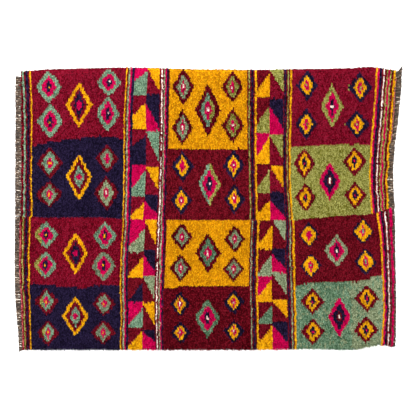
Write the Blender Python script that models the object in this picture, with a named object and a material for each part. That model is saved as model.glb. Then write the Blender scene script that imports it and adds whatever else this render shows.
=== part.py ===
"""A tulu rug that lies flat: knotted wool pile in two loom widths, sewn edge to edge.

The warps run along X, so both ends carry a warp fringe, and the two widths
meet at a sewn seam that runs along X. Each width is a lumpy slab of pile with
locks of wool along its free rim. Each end of each width has its own fringe,
a narrow backing strip with strands that lie level on the floor.
Sizes are in metres. The floor is z = 0, and +Y is the side of the upper width.
"""

import math
import random
from typing import NamedTuple

import bmesh
import bpy

COLLECTION = "tulu_rug"

# Pile
PILE_HEIGHT = 0.020
RIM_HEIGHT = 0.013
LOCK_TIP_HEIGHT = 0.009
SEAM_DIP = 0.003
SEAM_DIP_WIDTH = 0.050
END_DROP = 0.003
END_DROP_WIDTH = 0.030
SEAM_GAP = 0.0003

# Rounds that settle a plan point between four curved sides
PLACE_ROUNDS = 5

# Locks along each free rim
LOCKS_PER_RIM = 60
LOCK_REACH = 0.0055
LOCK_VALLEY = 0.0015

# Stations across a width, as shares of the way from the seam to the free rim
ACROSS = (0.0, 0.05, 0.12, 0.19, 0.26, 0.33, 0.40, 0.47, 0.54, 0.61, 0.68, 0.75, 0.82, 0.89, 0.95, 0.982, 1.0)

# Fringe
STRANDS_PER_FRINGE = 40
BACKING_WIDTH = 0.0040
BACKING_THICKNESS = 0.0040
STRAND_ROOT_SHARE = 0.62
STRAND_TIP_SHARE = 0.40
STRAND_TIP_THICKNESS = 0.0025
STRAND_LENGTH_SPREAD = 0.0020
STRAND_SIDE_SPREAD = 0.0022
FRINGE_SEED = 11


class Point(NamedTuple):
    """A place on the rug's outline, seen from above."""

    x: float
    y: float


class Lump(NamedTuple):
    """One wave of the pile's uneven top."""

    rise: float
    length_x: float
    length_y: float
    shift: float


UPPER_RIM = (
    Point(x=-0.923, y=0.665),
    Point(x=-0.876, y=0.669),
    Point(x=-0.798, y=0.674),
    Point(x=-0.620, y=0.679),
    Point(x=-0.409, y=0.684),
    Point(x=-0.090, y=0.679),
    Point(x=0.205, y=0.674),
    Point(x=0.500, y=0.679),
    Point(x=0.707, y=0.684),
    Point(x=0.805, y=0.688),
    Point(x=0.869, y=0.679),
    Point(x=0.924, y=0.668),
)
LOWER_RIM = (
    Point(x=-0.925, y=-0.691),
    Point(x=-0.729, y=-0.693),
    Point(x=-0.041, y=-0.691),
    Point(x=0.530, y=-0.684),
    Point(x=0.736, y=-0.688),
    Point(x=0.795, y=-0.675),
    Point(x=0.859, y=-0.666),
    Point(x=0.913, y=-0.678),
)
SEAM = (
    Point(x=-0.925, y=-0.039),
    Point(x=-0.778, y=-0.044),
    Point(x=-0.533, y=-0.044),
    Point(x=-0.419, y=-0.051),
    Point(x=-0.237, y=-0.056),
    Point(x=0.205, y=-0.057),
    Point(x=0.412, y=-0.056),
    Point(x=0.549, y=-0.044),
    Point(x=0.697, y=-0.032),
    Point(x=0.825, y=-0.022),
    Point(x=0.893, y=0.002),
)

# Where the pile ends, and how far the fringe reaches beyond it
UPPER_LEFT_END = (Point(x=-0.9225, y=0.67), Point(x=-0.9205, y=0.28), Point(x=-0.9225, y=-0.05))
UPPER_LEFT_REACH = (Point(x=-0.946, y=0.67), Point(x=-0.947, y=0.28), Point(x=-0.9485, y=-0.05))
LOWER_LEFT_END = (
    Point(x=-0.9290, y=-0.03),
    Point(x=-0.9294, y=-0.35),
    Point(x=-0.9230, y=-0.45),
    Point(x=-0.9161, y=-0.65),
    Point(x=-0.9140, y=-0.70),
)
LOWER_LEFT_REACH = (
    Point(x=-0.9500, y=-0.03),
    Point(x=-0.9500, y=-0.42),
    Point(x=-0.9430, y=-0.52),
    Point(x=-0.9340, y=-0.62),
    Point(x=-0.9310, y=-0.70),
)
UPPER_RIGHT_END = (
    Point(x=0.9240, y=0.67),
    Point(x=0.9180, y=0.53),
    Point(x=0.9048, y=0.38),
    Point(x=0.8890, y=0.28),
    Point(x=0.8882, y=0.10),
    Point(x=0.8900, y=0.00),
)
UPPER_RIGHT_REACH = (
    Point(x=0.9500, y=0.70),
    Point(x=0.9440, y=0.62),
    Point(x=0.9280, y=0.44),
    Point(x=0.9150, y=0.31),
    Point(x=0.9102, y=0.20),
    Point(x=0.9145, y=0.00),
)
LOWER_RIGHT_END = (
    Point(x=0.9030, y=0.00),
    Point(x=0.9102, y=-0.21),
    Point(x=0.9146, y=-0.45),
    Point(x=0.9112, y=-0.69),
)
LOWER_RIGHT_REACH = (
    Point(x=0.9165, y=0.00),
    Point(x=0.9195, y=-0.21),
    Point(x=0.9235, y=-0.50),
    Point(x=0.9200, y=-0.69),
)

# The fringe starts a little short of each corner, and at the upper right corner it flares past it
FRINGE_INSET_LEFT_TOP = 0.018
FRINGE_INSET = 0.006
FRINGE_INSET_RIGHT_TOP = 0.001
FRINGE_FLARE = 0.040
FRINGE_FLARE_SHARE = 0.10

# The middle of the whole outline, which the rug's origin is moved to
PLAN_MIDDLE = Point(x=-0.0030, y=-0.0001)

LUMPS = (
    Lump(rise=0.0015, length_x=0.170, length_y=0.230, shift=0.4),
    Lump(rise=0.0012, length_x=-0.098, length_y=0.140, shift=1.9),
    Lump(rise=0.0009, length_x=0.061, length_y=0.310, shift=3.1),
    Lump(rise=0.0006, length_x=0.047, length_y=-0.105, shift=5.2),
)

# Colours of the wool, each from red, green and blue shares
MADDER = (0.185, 0.006, 0.018)
MADDER_DARK = (0.130, 0.005, 0.013)
GOAT_HAIR = (0.105, 0.075, 0.055)
WOOL_ROUGHNESS = 0.9
WARP_ROUGHNESS = 0.8


def smooth_step(share):
    """An S-shaped way from 0 to 1."""
    share = min(max(share, 0.0), 1.0)
    return share * share * (3.0 - 2.0 * share)


def value_between(pairs, at):
    """The value at a place, on a soft curve through (place, value) pairs."""
    pairs = sorted(pairs)
    at = min(max(at, pairs[0][0]), pairs[-1][0])
    slopes = [(high - low) / (end - start) for (start, low), (end, high) in zip(pairs, pairs[1:])]
    leans = [slopes[0]] + [(before + after) / 2 for before, after in zip(slopes, slopes[1:])] + [slopes[-1]]
    for index, ((start, low), (end, high)) in enumerate(zip(pairs, pairs[1:])):
        if at <= end:
            break
    reach = end - start
    share = (at - start) / reach
    rise = smooth_step(share)
    lead_in = share * (1.0 - share) ** 2 * reach * leans[index]
    lead_out = share**2 * (1.0 - share) * reach * leans[index + 1]
    return low + (high - low) * rise + lead_in - lead_out


def y_on(line, x):
    """The y of a line that runs along the rug."""
    return value_between([(point.x, point.y) for point in line], x)


def x_on(line, y):
    """The x of a line that runs across the rug."""
    return value_between([(point.y, point.x) for point in line], y)


class Width(NamedTuple):
    """One loom width: its name, its four sides and the side of the seam that it lies on."""

    name: str
    rim: tuple
    left: tuple
    right: tuple
    side: int

    def place(self, along, across):
        """The plan point at a share along X and a share from the seam to the free rim."""
        y = 0.5 * (y_on(self.rim, 0.0) + y_on(SEAM, 0.0))
        x = 0.0
        for _ in range(PLACE_ROUNDS):
            x = x_on(self.left, y) + along * (x_on(self.right, y) - x_on(self.left, y))
            seam_y = y_on(SEAM, x) + self.side * SEAM_GAP / 2
            y = seam_y + across * (y_on(self.rim, x) - seam_y)
        return x, y

    def end_line(self, along):
        """The end of the finished slab, which is straight from one station to the next."""
        return sorted((Point(*self.place(along, across)) for across in ACROSS), key=lambda point: point.y)


def x_on_straights(line, y):
    """The x of a line of straight runs, listed by rising y."""
    y = min(max(y, line[0].y), line[-1].y)
    for low, high in zip(line, line[1:]):
        if y <= high.y:
            break
    return low.x + (high.x - low.x) * (y - low.y) / (high.y - low.y)


def lump_height(x, y):
    """How much the pile's top rises or sinks at a plan point."""
    return sum(
        lump.rise * math.sin(math.tau * (x / lump.length_x + y / lump.length_y) + lump.shift) for lump in LUMPS
    )


def pile_top(width, along, across, is_tip):
    """The height of the pile, lower at the seam, at the ends and along the free rim."""
    x, y = width.place(along, across)
    if across == 1.0:
        return LOCK_TIP_HEIGHT if is_tip else RIM_HEIGHT
    seam_away = abs(y - y_on(SEAM, x))
    end_away = min(x - x_on(width.left, y), x_on(width.right, y) - x)
    height = PILE_HEIGHT + lump_height(x, y)
    height -= SEAM_DIP * (1.0 - smooth_step(seam_away / SEAM_DIP_WIDTH))
    height -= END_DROP * (1.0 - smooth_step(end_away / END_DROP_WIDTH))
    if across == ACROSS[-2]:
        height -= 0.5 * (PILE_HEIGHT - RIM_HEIGHT)
    return height


def new_material(name, colour, roughness):
    """Wool yarn of one dye."""
    material = bpy.data.materials.new(name)
    material.use_nodes = True
    shader = material.node_tree.nodes["Principled BSDF"]
    shader.inputs["Base Color"].default_value = (*colour, 1.0)
    shader.inputs["Roughness"].default_value = roughness
    shader.inputs["Metallic"].default_value = 0.0
    return material


def add_object(name, shape, material, parent):
    """An object made from a finished bmesh, hung on the rug's middle."""
    mesh = bpy.data.meshes.new(name)
    bmesh.ops.recalc_face_normals(shape, faces=shape.faces)
    shape.to_mesh(mesh)
    shape.free()
    mesh.materials.append(material)
    made = bpy.data.objects.new(name, mesh)
    made.parent = parent
    parent.users_collection[0].objects.link(made)
    return made


def build_width(width, material, parent):
    """A lumpy slab with a flat underside and locks along its free rim."""
    columns = 2 * LOCKS_PER_RIM
    rows = len(ACROSS) - 1
    shape = bmesh.new()
    bmesh.ops.create_grid(shape, x_segments=columns, y_segments=rows, size=0.5)
    bmesh.ops.extrude_face_region(shape, geom=list(shape.faces), use_keep_orig=True)
    shape.verts.ensure_lookup_table()
    layer_size = (columns + 1) * (rows + 1)
    for index, vert in enumerate(shape.verts):
        column = round((vert.co.x + 0.5) * columns)
        across = ACROSS[round((vert.co.y + 0.5) * rows)]
        along = column / columns
        is_tip = column % 2 == 1
        x, y = width.place(along, across)
        if across == 1.0:
            y += width.side * (LOCK_REACH if is_tip else -LOCK_VALLEY)
        on_top = index >= layer_size
        vert.co = (x, y, pile_top(width, along, across, is_tip) if on_top else 0.0)
    return add_object(width.name, shape, material, parent)


class Fringe(NamedTuple):
    """The warp ends at one end of a width, from low_y to high_y."""

    name: str
    width: Width
    reach: tuple
    along: int
    low_y: float
    high_y: float
    flare: float

    @property
    def side(self):
        """Which way the strands point: 1 for +X, -1 for -X."""
        return 2 * self.along - 1

    def flare_at(self, share):
        """How far a strand's tip leans past the corner, from its share of the way up."""
        return self.flare * smooth_step((share - 1.0 + FRINGE_FLARE_SHARE) / FRINGE_FLARE_SHARE)


def comb_blank(cells):
    """A unit block divided into cells along Y, and its outer faces by cell."""
    shape = bmesh.new()
    bmesh.ops.create_cube(shape, size=1.0)
    long_edges = [edge for edge in shape.edges if abs(edge.verts[0].co.y - edge.verts[1].co.y) > 0.5]
    bmesh.ops.subdivide_edges(shape, edges=long_edges, cuts=cells - 1, use_grid_fill=True)
    outer_faces = {}
    for face in shape.faces:
        if face.normal.x > 0.5:
            outer_faces[round((face.calc_center_median().y + 0.5) * cells - 0.5)] = face
    return shape, outer_faces


def build_fringe(fringe, material, parent):
    """A backing strip with one strand drawn out of every other face of its outer side."""
    pick = random.Random(f"{FRINGE_SEED} {fringe.name}")
    cells = 2 * STRANDS_PER_FRINGE - 1
    span = fringe.high_y - fringe.low_y
    pitch = span / STRANDS_PER_FRINGE
    pile_end = fringe.width.end_line(fringe.along)
    shape, outer_faces = comb_blank(cells)
    for vert in shape.verts:
        strand, is_far_edge = divmod(round((vert.co.y + 0.5) * cells), 2)
        edge = STRAND_ROOT_SHARE if is_far_edge else 0.0
        y = fringe.low_y + (strand + (1.0 - STRAND_ROOT_SHARE) / 2 + edge) * pitch
        x = x_on_straights(pile_end, y) + fringe.side * SEAM_GAP
        if vert.co.x > 0:
            x += fringe.side * BACKING_WIDTH
        vert.co = (x, y, BACKING_THICKNESS if vert.co.z > 0 else 0.0)
    for strand in range(STRANDS_PER_FRINGE):
        drawn = bmesh.ops.extrude_discrete_faces(shape, faces=[outer_faces[2 * strand]])["faces"][0]
        middle = drawn.calc_center_median().y
        share = (middle - fringe.low_y) / span
        tip_y = middle + pick.uniform(-1.0, 1.0) * STRAND_SIDE_SPREAD + fringe.flare_at(share)
        tip_x = x_on(fringe.reach, middle) - fringe.side * pick.uniform(0.0, 1.0) * STRAND_LENGTH_SPREAD
        half_width = 0.5 * STRAND_TIP_SHARE * pitch
        for vert in drawn.verts:
            side = 1.0 if vert.co.y > middle else -1.0
            height = STRAND_TIP_THICKNESS if vert.co.z > 0 else 0.0
            vert.co = (tip_x, tip_y + side * half_width, height)
    return add_object(fringe.name, shape, material, parent)


def clear_scene():
    """Start from an empty scene."""
    for thing in list(bpy.data.objects):
        bpy.data.objects.remove(thing, do_unlink=True)


def main():
    """Build the two widths and the four fringes."""
    clear_scene()
    collection = bpy.data.collections.new(COLLECTION)
    bpy.context.scene.collection.children.link(collection)
    middle = bpy.data.objects.new("rug_middle", None)
    middle.location = (-PLAN_MIDDLE.x, -PLAN_MIDDLE.y, 0.0)
    collection.objects.link(middle)
    upper = Width("pile_strip_upper", UPPER_RIM, UPPER_LEFT_END, UPPER_RIGHT_END, side=1)
    lower = Width("pile_strip_lower", LOWER_RIM, LOWER_LEFT_END, LOWER_RIGHT_END, side=-1)
    build_width(upper, new_material("madder_wool_pile", MADDER, WOOL_ROUGHNESS), middle)
    build_width(lower, new_material("dark_madder_wool_pile", MADDER_DARK, WOOL_ROUGHNESS), middle)
    seam_left = y_on(SEAM, SEAM[0].x)
    seam_right = y_on(SEAM, SEAM[-1].x)
    fringes = (
        Fringe(
            "fringe_left_upper", upper, UPPER_LEFT_REACH, along=0,
            low_y=seam_left, high_y=UPPER_RIM[0].y - FRINGE_INSET_LEFT_TOP, flare=0.0,
        ),
        Fringe(
            "fringe_left_lower", lower, LOWER_LEFT_REACH, along=0,
            low_y=LOWER_RIM[0].y + FRINGE_INSET, high_y=seam_left, flare=0.0,
        ),
        Fringe(
            "fringe_right_upper", upper, UPPER_RIGHT_REACH, along=1,
            low_y=seam_right, high_y=UPPER_RIM[-1].y - FRINGE_INSET_RIGHT_TOP, flare=FRINGE_FLARE,
        ),
        Fringe(
            "fringe_right_lower", lower, LOWER_RIGHT_REACH, along=1,
            low_y=LOWER_RIM[-1].y + FRINGE_INSET, high_y=seam_right, flare=0.0,
        ),
    )
    for fringe in fringes:
        build_fringe(fringe, new_material(f"goat_hair_{fringe.name}", GOAT_HAIR, WARP_ROUGHNESS), middle)


if __name__ == "__main__":
    main()
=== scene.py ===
"""The looks of a tulu rug: knotted wool pile in two loom widths, sewn edge to edge.

The warps run along X and the knot rows run along Y. The pattern is charted: weft lines say where each run
of stripes or panels starts, and every knot takes its dye from the run that it stands in. Chart sizes are
millimetres from the middle of the rug, seen from above. The pile follows the solids of the frame.
"""

import logging
import math
from collections.abc import Sequence
from dataclasses import dataclass
from enum import Enum
from typing import NamedTuple

import bpy
import numpy as np
from bpy.types import Material, Mesh, Node, NodeSocket, NodeTree, Object
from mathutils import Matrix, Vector
from mathutils.bvhtree import BVHTree


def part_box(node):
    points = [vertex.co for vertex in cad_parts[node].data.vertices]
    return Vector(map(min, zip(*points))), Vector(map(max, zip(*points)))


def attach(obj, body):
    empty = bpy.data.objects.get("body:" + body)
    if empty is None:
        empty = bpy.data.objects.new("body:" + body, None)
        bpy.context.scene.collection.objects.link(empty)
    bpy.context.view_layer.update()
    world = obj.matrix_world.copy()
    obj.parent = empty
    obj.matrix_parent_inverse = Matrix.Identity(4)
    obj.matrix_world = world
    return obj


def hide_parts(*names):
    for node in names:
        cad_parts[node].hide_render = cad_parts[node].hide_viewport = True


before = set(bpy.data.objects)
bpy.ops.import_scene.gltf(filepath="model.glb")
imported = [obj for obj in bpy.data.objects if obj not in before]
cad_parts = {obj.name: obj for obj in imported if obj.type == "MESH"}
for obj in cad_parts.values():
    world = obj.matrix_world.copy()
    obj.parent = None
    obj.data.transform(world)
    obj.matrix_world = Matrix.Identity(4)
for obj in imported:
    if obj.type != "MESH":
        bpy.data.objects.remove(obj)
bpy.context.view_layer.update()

log = logging.getLogger("tulu_rug")

MM = 0.001
BODY = "root"

# The woven ground's underside and its top, in millimetres above the floor
GROUND_BOTTOM = 0.4
GROUND_TOP = 3.0


class Dye(Enum):
    """The colours of wool that the rug is knotted in."""

    MADDER = "madder"
    MAROON = "maroon"
    NAVY = "navy"
    SAFFRON = "saffron"
    FUCHSIA = "fuchsia"
    MINT = "mint"
    SEA_GREEN = "sea_green"
    SAGE = "sage_green"
    MOSS = "moss_green"
    OLIVE = "olive"
    IVORY = "ivory"
    BROWN = "brown"


def linear(hex_colour: str) -> tuple[float, float, float, float]:
    """Turn an sRGB hex colour to linear light.

    Args:
        hex_colour: Six hex digits after a hash mark.

    Returns:
        Red, green, blue and alpha.
    """
    shares = [int(hex_colour[place : place + 2], 16) / 255 for place in (1, 3, 5)]
    lit = [share / 12.92 if share <= 0.04045 else ((share + 0.055) / 1.055) ** 2.4 for share in shares]
    return (*lit, 1.0)


def add_node(
    tree: NodeTree, kind: str, inputs: dict[str | int, object] | None = None, **fields: object
) -> Node:
    """Add a node to a tree with its fields, values and links.

    Args:
        tree: The tree that takes the node.
        kind: The node's Blender type.
        inputs: For each input, by name or place, a value, another node's output, or another node, whose
            first output is meant.
        fields: The node's own fields.

    Returns:
        The new node.
    """
    node = tree.nodes.new(kind)
    for name, value in fields.items():
        setattr(node, name, value)
    for key, value in (inputs or {}).items():
        source = value.outputs[0] if isinstance(value, Node) else value
        if isinstance(source, NodeSocket):
            tree.links.new(source, node.inputs[key])
        else:
            node.inputs[key].default_value = value
    return node


def curve_through(stations: Sequence[float], shares: np.ndarray) -> np.ndarray:
    """Values on a soft curve through evenly spaced stations.

    Args:
        stations: The values at the stations, from share 0 to share 1.
        shares: Where to read the curve.

    Returns:
        One value for each share.
    """
    values = np.asarray(stations, float)
    slopes = np.gradient(values)
    at = np.clip(shares, 0, 1) * (len(values) - 1)
    index = np.minimum(at.astype(int), len(values) - 2)
    part = at - index
    rise = part * part * (3 - 2 * part)
    lead_in = part * (1 - part) ** 2 * slopes[index]
    lead_out = part**2 * (1 - part) * slopes[index + 1]
    return values[index] + (values[index + 1] - values[index]) * rise + lead_in - lead_out


class WeftLine(NamedTuple):
    """Where a weft crosses the rug: its x at five places from the free rim to the sewn seam."""

    rim: float
    outer: float
    middle: float
    inner: float
    seam: float

    def x_at(self, across: np.ndarray) -> np.ndarray:
        """The x at shares of the way from the seam to the rim."""
        return curve_through((self.seam, self.inner, self.middle, self.outer, self.rim), across)


class Ring(NamedTuple):
    """One ring of a diamond, with its reach as shares of the diamond's half sizes.

    Where other is given, the ring turns to that dye on one side: to the right of other_from, or to the left
    of it if other_from is below nought.
    """

    dye: Dye
    wide: float
    high: float
    other: Dye | None = None
    other_from: float = 0.0


# A diamond's sides are straight at a bulge of 1, its inner rings are a little drawn in, and its core of a few
# knots is round
INNER_BULGE = 0.98
CORE_BULGE = 2.0
CORE_WIDE = 9.0


class Diamond(NamedTuple):
    """A nested diamond: its middle, half sizes, rings from the outside in and the bulge of its sides."""

    x: float
    y: float
    wide: float
    high: float
    rings: tuple[Ring, ...]
    bulge: float = 1.03

    def dye_at(self, x: float, y: float) -> Dye | None:
        """The dye of the innermost ring that holds a place.

        Args:
            x: The place's x.
            y: Its y.

        Returns:
            The ring's dye, or None outside the diamond.
        """
        right = (x - self.x) / self.wide
        away = abs(right)
        up = abs(y - self.y) / self.high
        found = None
        for ring in self.rings:
            inner = CORE_BULGE if ring.wide * self.wide < CORE_WIDE else INNER_BULGE * self.bulge
            bulge = self.bulge if ring is self.rings[0] else inner
            if (away / ring.wide) ** bulge + (up / ring.high) ** bulge > 1.0:
                continue
            turned = right > ring.other_from if ring.other_from >= 0 else right < ring.other_from
            found = ring.other if ring.other and turned else ring.dye
        return found


class Fleck(NamedTuple):
    """Knots of another dye that are strewn over a panel's ground to the right of an x.

    A fleck takes a knot whose chance, from 0 to 1, lies under its share. The first that does so wins.
    """

    dye: Dye
    share: float
    from_x: float = -1000.0


class Panel(NamedTuple):
    """A panel of one ground dye with its diamonds. Tone makes the dye lot lighter or darker."""

    ground: Dye
    motifs: tuple[Diamond, ...]
    tone: float = 0.0
    flecks: tuple[Fleck, ...] = ()

    def dye_at(self, x: float, y: float, chance: float) -> Dye:
        """The dye of the knot at a place.

        Args:
            x: The place's x.
            y: Its y.
            chance: The knot's own chance, from 0 to 1.

        Returns:
            The dye of a diamond, a fleck or the ground.
        """
        for motif in self.motifs:
            dye = motif.dye_at(x, y)
            if dye:
                return dye
        for fleck in self.flecks:
            if x > fleck.from_x and chance < fleck.share:
                return fleck.dye
        return self.ground


class Place(NamedTuple):
    """A place on the rug, seen from above."""

    x: float
    y: float


def along_line(line: Sequence[Place], x: np.ndarray | float) -> np.ndarray | float:
    """The y of a line of places at an x."""
    return np.interp(x, [place.x for place in line], [place.y for place in line])


class Knot(NamedTuple):
    """A knot's dye and its tone, from -1 for dark wool to 1 for light wool."""

    dye: Dye
    tone: float = 0.0


# Every kind of band below has knot_at, whose along is the knot row's share of the way across the band


@dataclass(frozen=True)
class Stripe:
    """A stripe of one dye from the seam to the rim. Dark knots break an ivory one here and there."""

    dye: Dye
    wide: float
    rows: int = 1
    broken_share: float = 0.08

    def knot_at(self, x: float, y: float, along: float, chance: float) -> Knot:
        """The knot at a place in the stripe."""
        return Knot(Dye.MAROON if self.dye is Dye.IVORY and chance < self.broken_share else self.dye)


@dataclass(frozen=True)
class PanelPair:
    """Two panels, one above the other, that part at a line."""

    wide: float
    rows: int
    upper: Panel
    lower: Panel
    parting: tuple[Place, ...]

    def knot_at(self, x: float, y: float, along: float, chance: float) -> Knot:
        """The knot at a place in one of the two panels."""
        panel = self.upper if y > along_line(self.parting, x) else self.lower
        return Knot(panel.dye_at(x, y, chance), panel.tone)


class Wedge(NamedTuple):
    """A pair of dyes that meet on a slant, from y centre at the column's middle to y outer at its edge."""

    top: float
    upper: Dye
    centre: float
    outer: float
    lower: Dye


class Side(Enum):
    """Which half of a triangle column, or which end or side of the rug."""

    LEFT = -1
    RIGHT = 1


@dataclass(frozen=True)
class HalfColumn:
    """One half of a column of triangles: wedges stacked from the top down."""

    wide: float
    rows: int
    half: Side
    wedges: tuple[Wedge, ...]

    def knot_at(self, x: float, y: float, along: float, chance: float) -> Knot:
        """The knot at a place.

        Args:
            x: The place's x, which triangles don't use.
            y: Its y.
            along: Its share of the way across the half column.
            chance: The knot's own chance, which triangles don't use.

        Returns:
            The knot.
        """
        inward = along if self.half is Side.LEFT else 1.0 - along
        wedge = next((wedge for wedge in reversed(self.wedges) if wedge.top >= y), self.wedges[0])
        slant_y = wedge.outer + (wedge.centre - wedge.outer) * inward
        return Knot(wedge.upper if y > slant_y else wedge.lower)


Band = Stripe | PanelPair | HalfColumn


class Run(NamedTuple):
    """Bands side by side from one weft line to the next. A run without a line starts at the pile's end."""

    start: WeftLine | None
    bands: tuple[Band, ...]


# The chart calls the dyes by their bare names, in the order of their class
MADDER, MAROON, NAVY, SAFFRON, FUCHSIA, MINT, SEA_GREEN, SAGE, MOSS, OLIVE, IVORY, BROWN = Dye


def stripes(*pairs: tuple[Dye, float]) -> tuple[Stripe, ...]:
    """Stripes of one knot row each, from their dyes and widths."""
    return tuple(Stripe(dye, wide) for dye, wide in pairs)


def core(dye: Dye) -> Ring:
    """The knot or two in the middle of a corner diamond."""
    return Ring(dye, 0.075, 0.105)


def star_core(dye: Dye) -> Ring:
    """The short upright line of knots in the middle of a panel's large diamond."""
    return Ring(dye, 0.072, 0.130)


def rose(green: Dye) -> tuple[Ring, ...]:
    """A fuchsia diamond with a navy heart and an edge of green."""
    return (Ring(green, 1, 1), Ring(FUCHSIA, 0.61, 0.71), Ring(NAVY, 0.24, 0.42))


def maroon_edged(green: Dye, high: float = 0.71) -> tuple[Ring, ...]:
    """A green diamond with a fuchsia heart and an edge of maroon."""
    return (Ring(MAROON, 1, 1), Ring(green, 0.62, high), Ring(FUCHSIA, 0.26, 0.44))


def star(green: Dye) -> tuple[Ring, ...]:
    """A panel's large fuchsia diamond with a navy heart and an edge of green."""
    return (Ring(green, 1, 1), Ring(FUCHSIA, 0.65, 0.69), Ring(NAVY, 0.27, 0.42))


def diamonds(
    rings: tuple[Ring, ...], *spots: tuple[float, float, float, float], bulge: float = 1.03
) -> tuple[Diamond, ...]:
    """Diamonds with the same rings, each from its x, its y, its half width and its half height."""
    return tuple(Diamond(*spot, rings, bulge) for spot in spots)


def panel(
    ground: Dye, *groups: tuple[Diamond, ...], tone: float = 0.0, flecks: tuple[Fleck, ...] = ()
) -> Panel:
    """A panel from its ground and its groups of like diamonds."""
    return Panel(ground, tuple(diamond for group in groups for diamond in group), tone, flecks)


def triangles(
    half: Side, wide: float, rows: int, *wedges: tuple[float, Dye, float, float, Dye]
) -> tuple[HalfColumn, ...]:
    """Half a column of triangles, the only band of its run, from the columns of Wedge for each wedge."""
    return (HalfColumn(wide, rows, half, tuple(Wedge(*wedge) for wedge in wedges)),)


def panel_pair(
    wide: float, rows: int, upper: Panel, lower: Panel, *parting: tuple[float, float]
) -> tuple[PanelPair, ...]:
    """Two panels, the only band of their run, from the x and y of the places where they part."""
    return (PanelPair(wide, rows, upper, lower, tuple(Place(*place) for place in parting)),)


OLIVE_EDGED_ROSE = (
    Ring(MINT, 1, 1, other=OLIVE, other_from=-0.42),
    Ring(FUCHSIA, 0.65, 0.64),
    Ring(NAVY, 0.24, 0.40),
)
MAROON_OLIVE_MINT = (
    Ring(MAROON, 1, 1),
    Ring(MINT, 0.61, 0.77, other=OLIVE, other_from=-0.30),
    Ring(FUCHSIA, 0.26, 0.46),
)
YELLOW_LOZENGE = (
    Ring(SAFFRON, 1, 1),
    Ring(MADDER, 0.70, 0.77),
    Ring(NAVY, 0.40, 0.58),
    Ring(FUCHSIA, 0.26, 0.22),
)
YELLOW_MINT_LOZENGE = (
    Ring(SAFFRON, 1, 1),
    Ring(MAROON, 0.76, 0.80),
    Ring(MINT, 0.42, 0.50),
    Ring(FUCHSIA, 0.27, 0.19),
)
NAVY_YELLOW = (Ring(NAVY, 1, 1), Ring(SAFFRON, 0.58, 0.68), Ring(FUCHSIA, 0.28, 0.43))
TWO_GREEN_LOZENGE = (
    Ring(MAROON, 1, 1),
    Ring(MINT, 0.61, 0.69, other=OLIVE, other_from=0.12),
    Ring(FUCHSIA, 0.33, 0.42),
)
GREEN_LOZENGE = (Ring(MAROON, 1, 1), Ring(SEA_GREEN, 0.66, 0.72), Ring(FUCHSIA, 0.32, 0.40))
TWO_GREEN_STAR = (
    Ring(MINT, 1, 1, other=OLIVE, other_from=0.0),
    Ring(FUCHSIA, 0.70, 0.74),
    Ring(NAVY, 0.32, 0.44),
)
OLIVE_STAR = (Ring(OLIVE, 1, 1), Ring(FUCHSIA, 0.62, 0.70), Ring(NAVY, 0.23, 0.43))
WIDE_NAVY_YELLOW = (Ring(NAVY, 1, 1), Ring(SAFFRON, 0.60, 0.68), Ring(FUCHSIA, 0.26, 0.45))
THIN_NAVY_YELLOW = (Ring(NAVY, 1, 1), Ring(SAFFRON, 0.76, 0.81), Ring(FUCHSIA, 0.28, 0.51))
MAROON_YELLOW = (Ring(MAROON, 1, 1), Ring(SAFFRON, 0.60, 0.70), Ring(NAVY, 0.26, 0.43))
FUCHSIA_STAR = (Ring(FUCHSIA, 1, 1), Ring(NAVY, 0.61, 0.71), Ring(MAROON, 0.26, 0.29))
OLIVE_FLECK = (Ring(OLIVE, 1, 1),)

RED_UPPER_LEFT = panel(
    MADDER,
    diamonds((*rose(MINT), core(SAFFRON)), (-781, 593, 61, 74), (-774, 424, 61, 79), bulge=1.25),
    diamonds((*rose(MINT), core(IVORY)), (-485, 615, 57, 64), (-491, 462, 54, 84), bulge=1.25),
    diamonds(YELLOW_LOZENGE, (-632, 506, 65, 113)),
)
NAVY_UPPER_LEFT = panel(
    NAVY,
    diamonds((*maroon_edged(MINT, 0.76), core(SAFFRON)), (-776, 219, 63, 75), bulge=1.12),
    diamonds((*maroon_edged(MOSS, 0.76), core(SAFFRON)), (-778, 64, 64, 65), bulge=1.12),
    diamonds(maroon_edged(MOSS, 0.76), (-494, 241, 54, 72)),
    diamonds((*maroon_edged(SAGE, 0.76), core(IVORY)), (-498, 71, 60, 82), bulge=1.12),
    diamonds(YELLOW_MINT_LOZENGE, (-632, 149, 64, 117)),
)
YELLOW_UPPER_MIDDLE = panel(
    SAFFRON,
    diamonds((*maroon_edged(SAGE), core(IVORY)), (-119, 593, 55, 90), (-123, 393, 53, 89)),
    diamonds((*maroon_edged(OLIVE), core(IVORY)), (122, 593, 55, 81), (124, 403, 55, 88)),
    diamonds((*TWO_GREEN_LOZENGE, star_core(IVORY)), (2, 479, 63, 132)),
    tone=-0.75,
)
MAROON_UPPER_MIDDLE = panel(
    MAROON,
    diamonds(
        (*NAVY_YELLOW, core(IVORY)), (-123, 202, 55, 78), (-129, 35, 55, 70), (128, 208, 55, 78),
        (133, 42, 53, 72)
    ),
    diamonds((*TWO_GREEN_STAR, star_core(IVORY)), (9, 115, 56, 106)),
)
RED_UPPER_RIGHT = panel(
    MADDER,
    diamonds(
        (*WIDE_NAVY_YELLOW, core(OLIVE)), (490, 600, 53, 77), (486, 410, 53, 78), (751, 589, 58, 78),
        (736, 408, 58, 73)
    ),
    diamonds((*OLIVE_STAR, star_core(IVORY)), (613, 497, 55, 110)),
    diamonds(OLIVE_FLECK, (694, 585, 6, 13), (680, 402, 6, 10)),
    tone=0.1,
)
OLIVE_UPPER_RIGHT = panel(
    OLIVE,
    diamonds(
        (*MAROON_YELLOW, core(FUCHSIA)), (477, 217, 53, 78), (482, 49, 51, 73), (723, 226, 60, 73),
        (727, 59, 55, 68), bulge=1.08
    ),
    diamonds((*FUCHSIA_STAR, star_core(IVORY)), (601, 130, 55, 95)),
)
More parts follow.
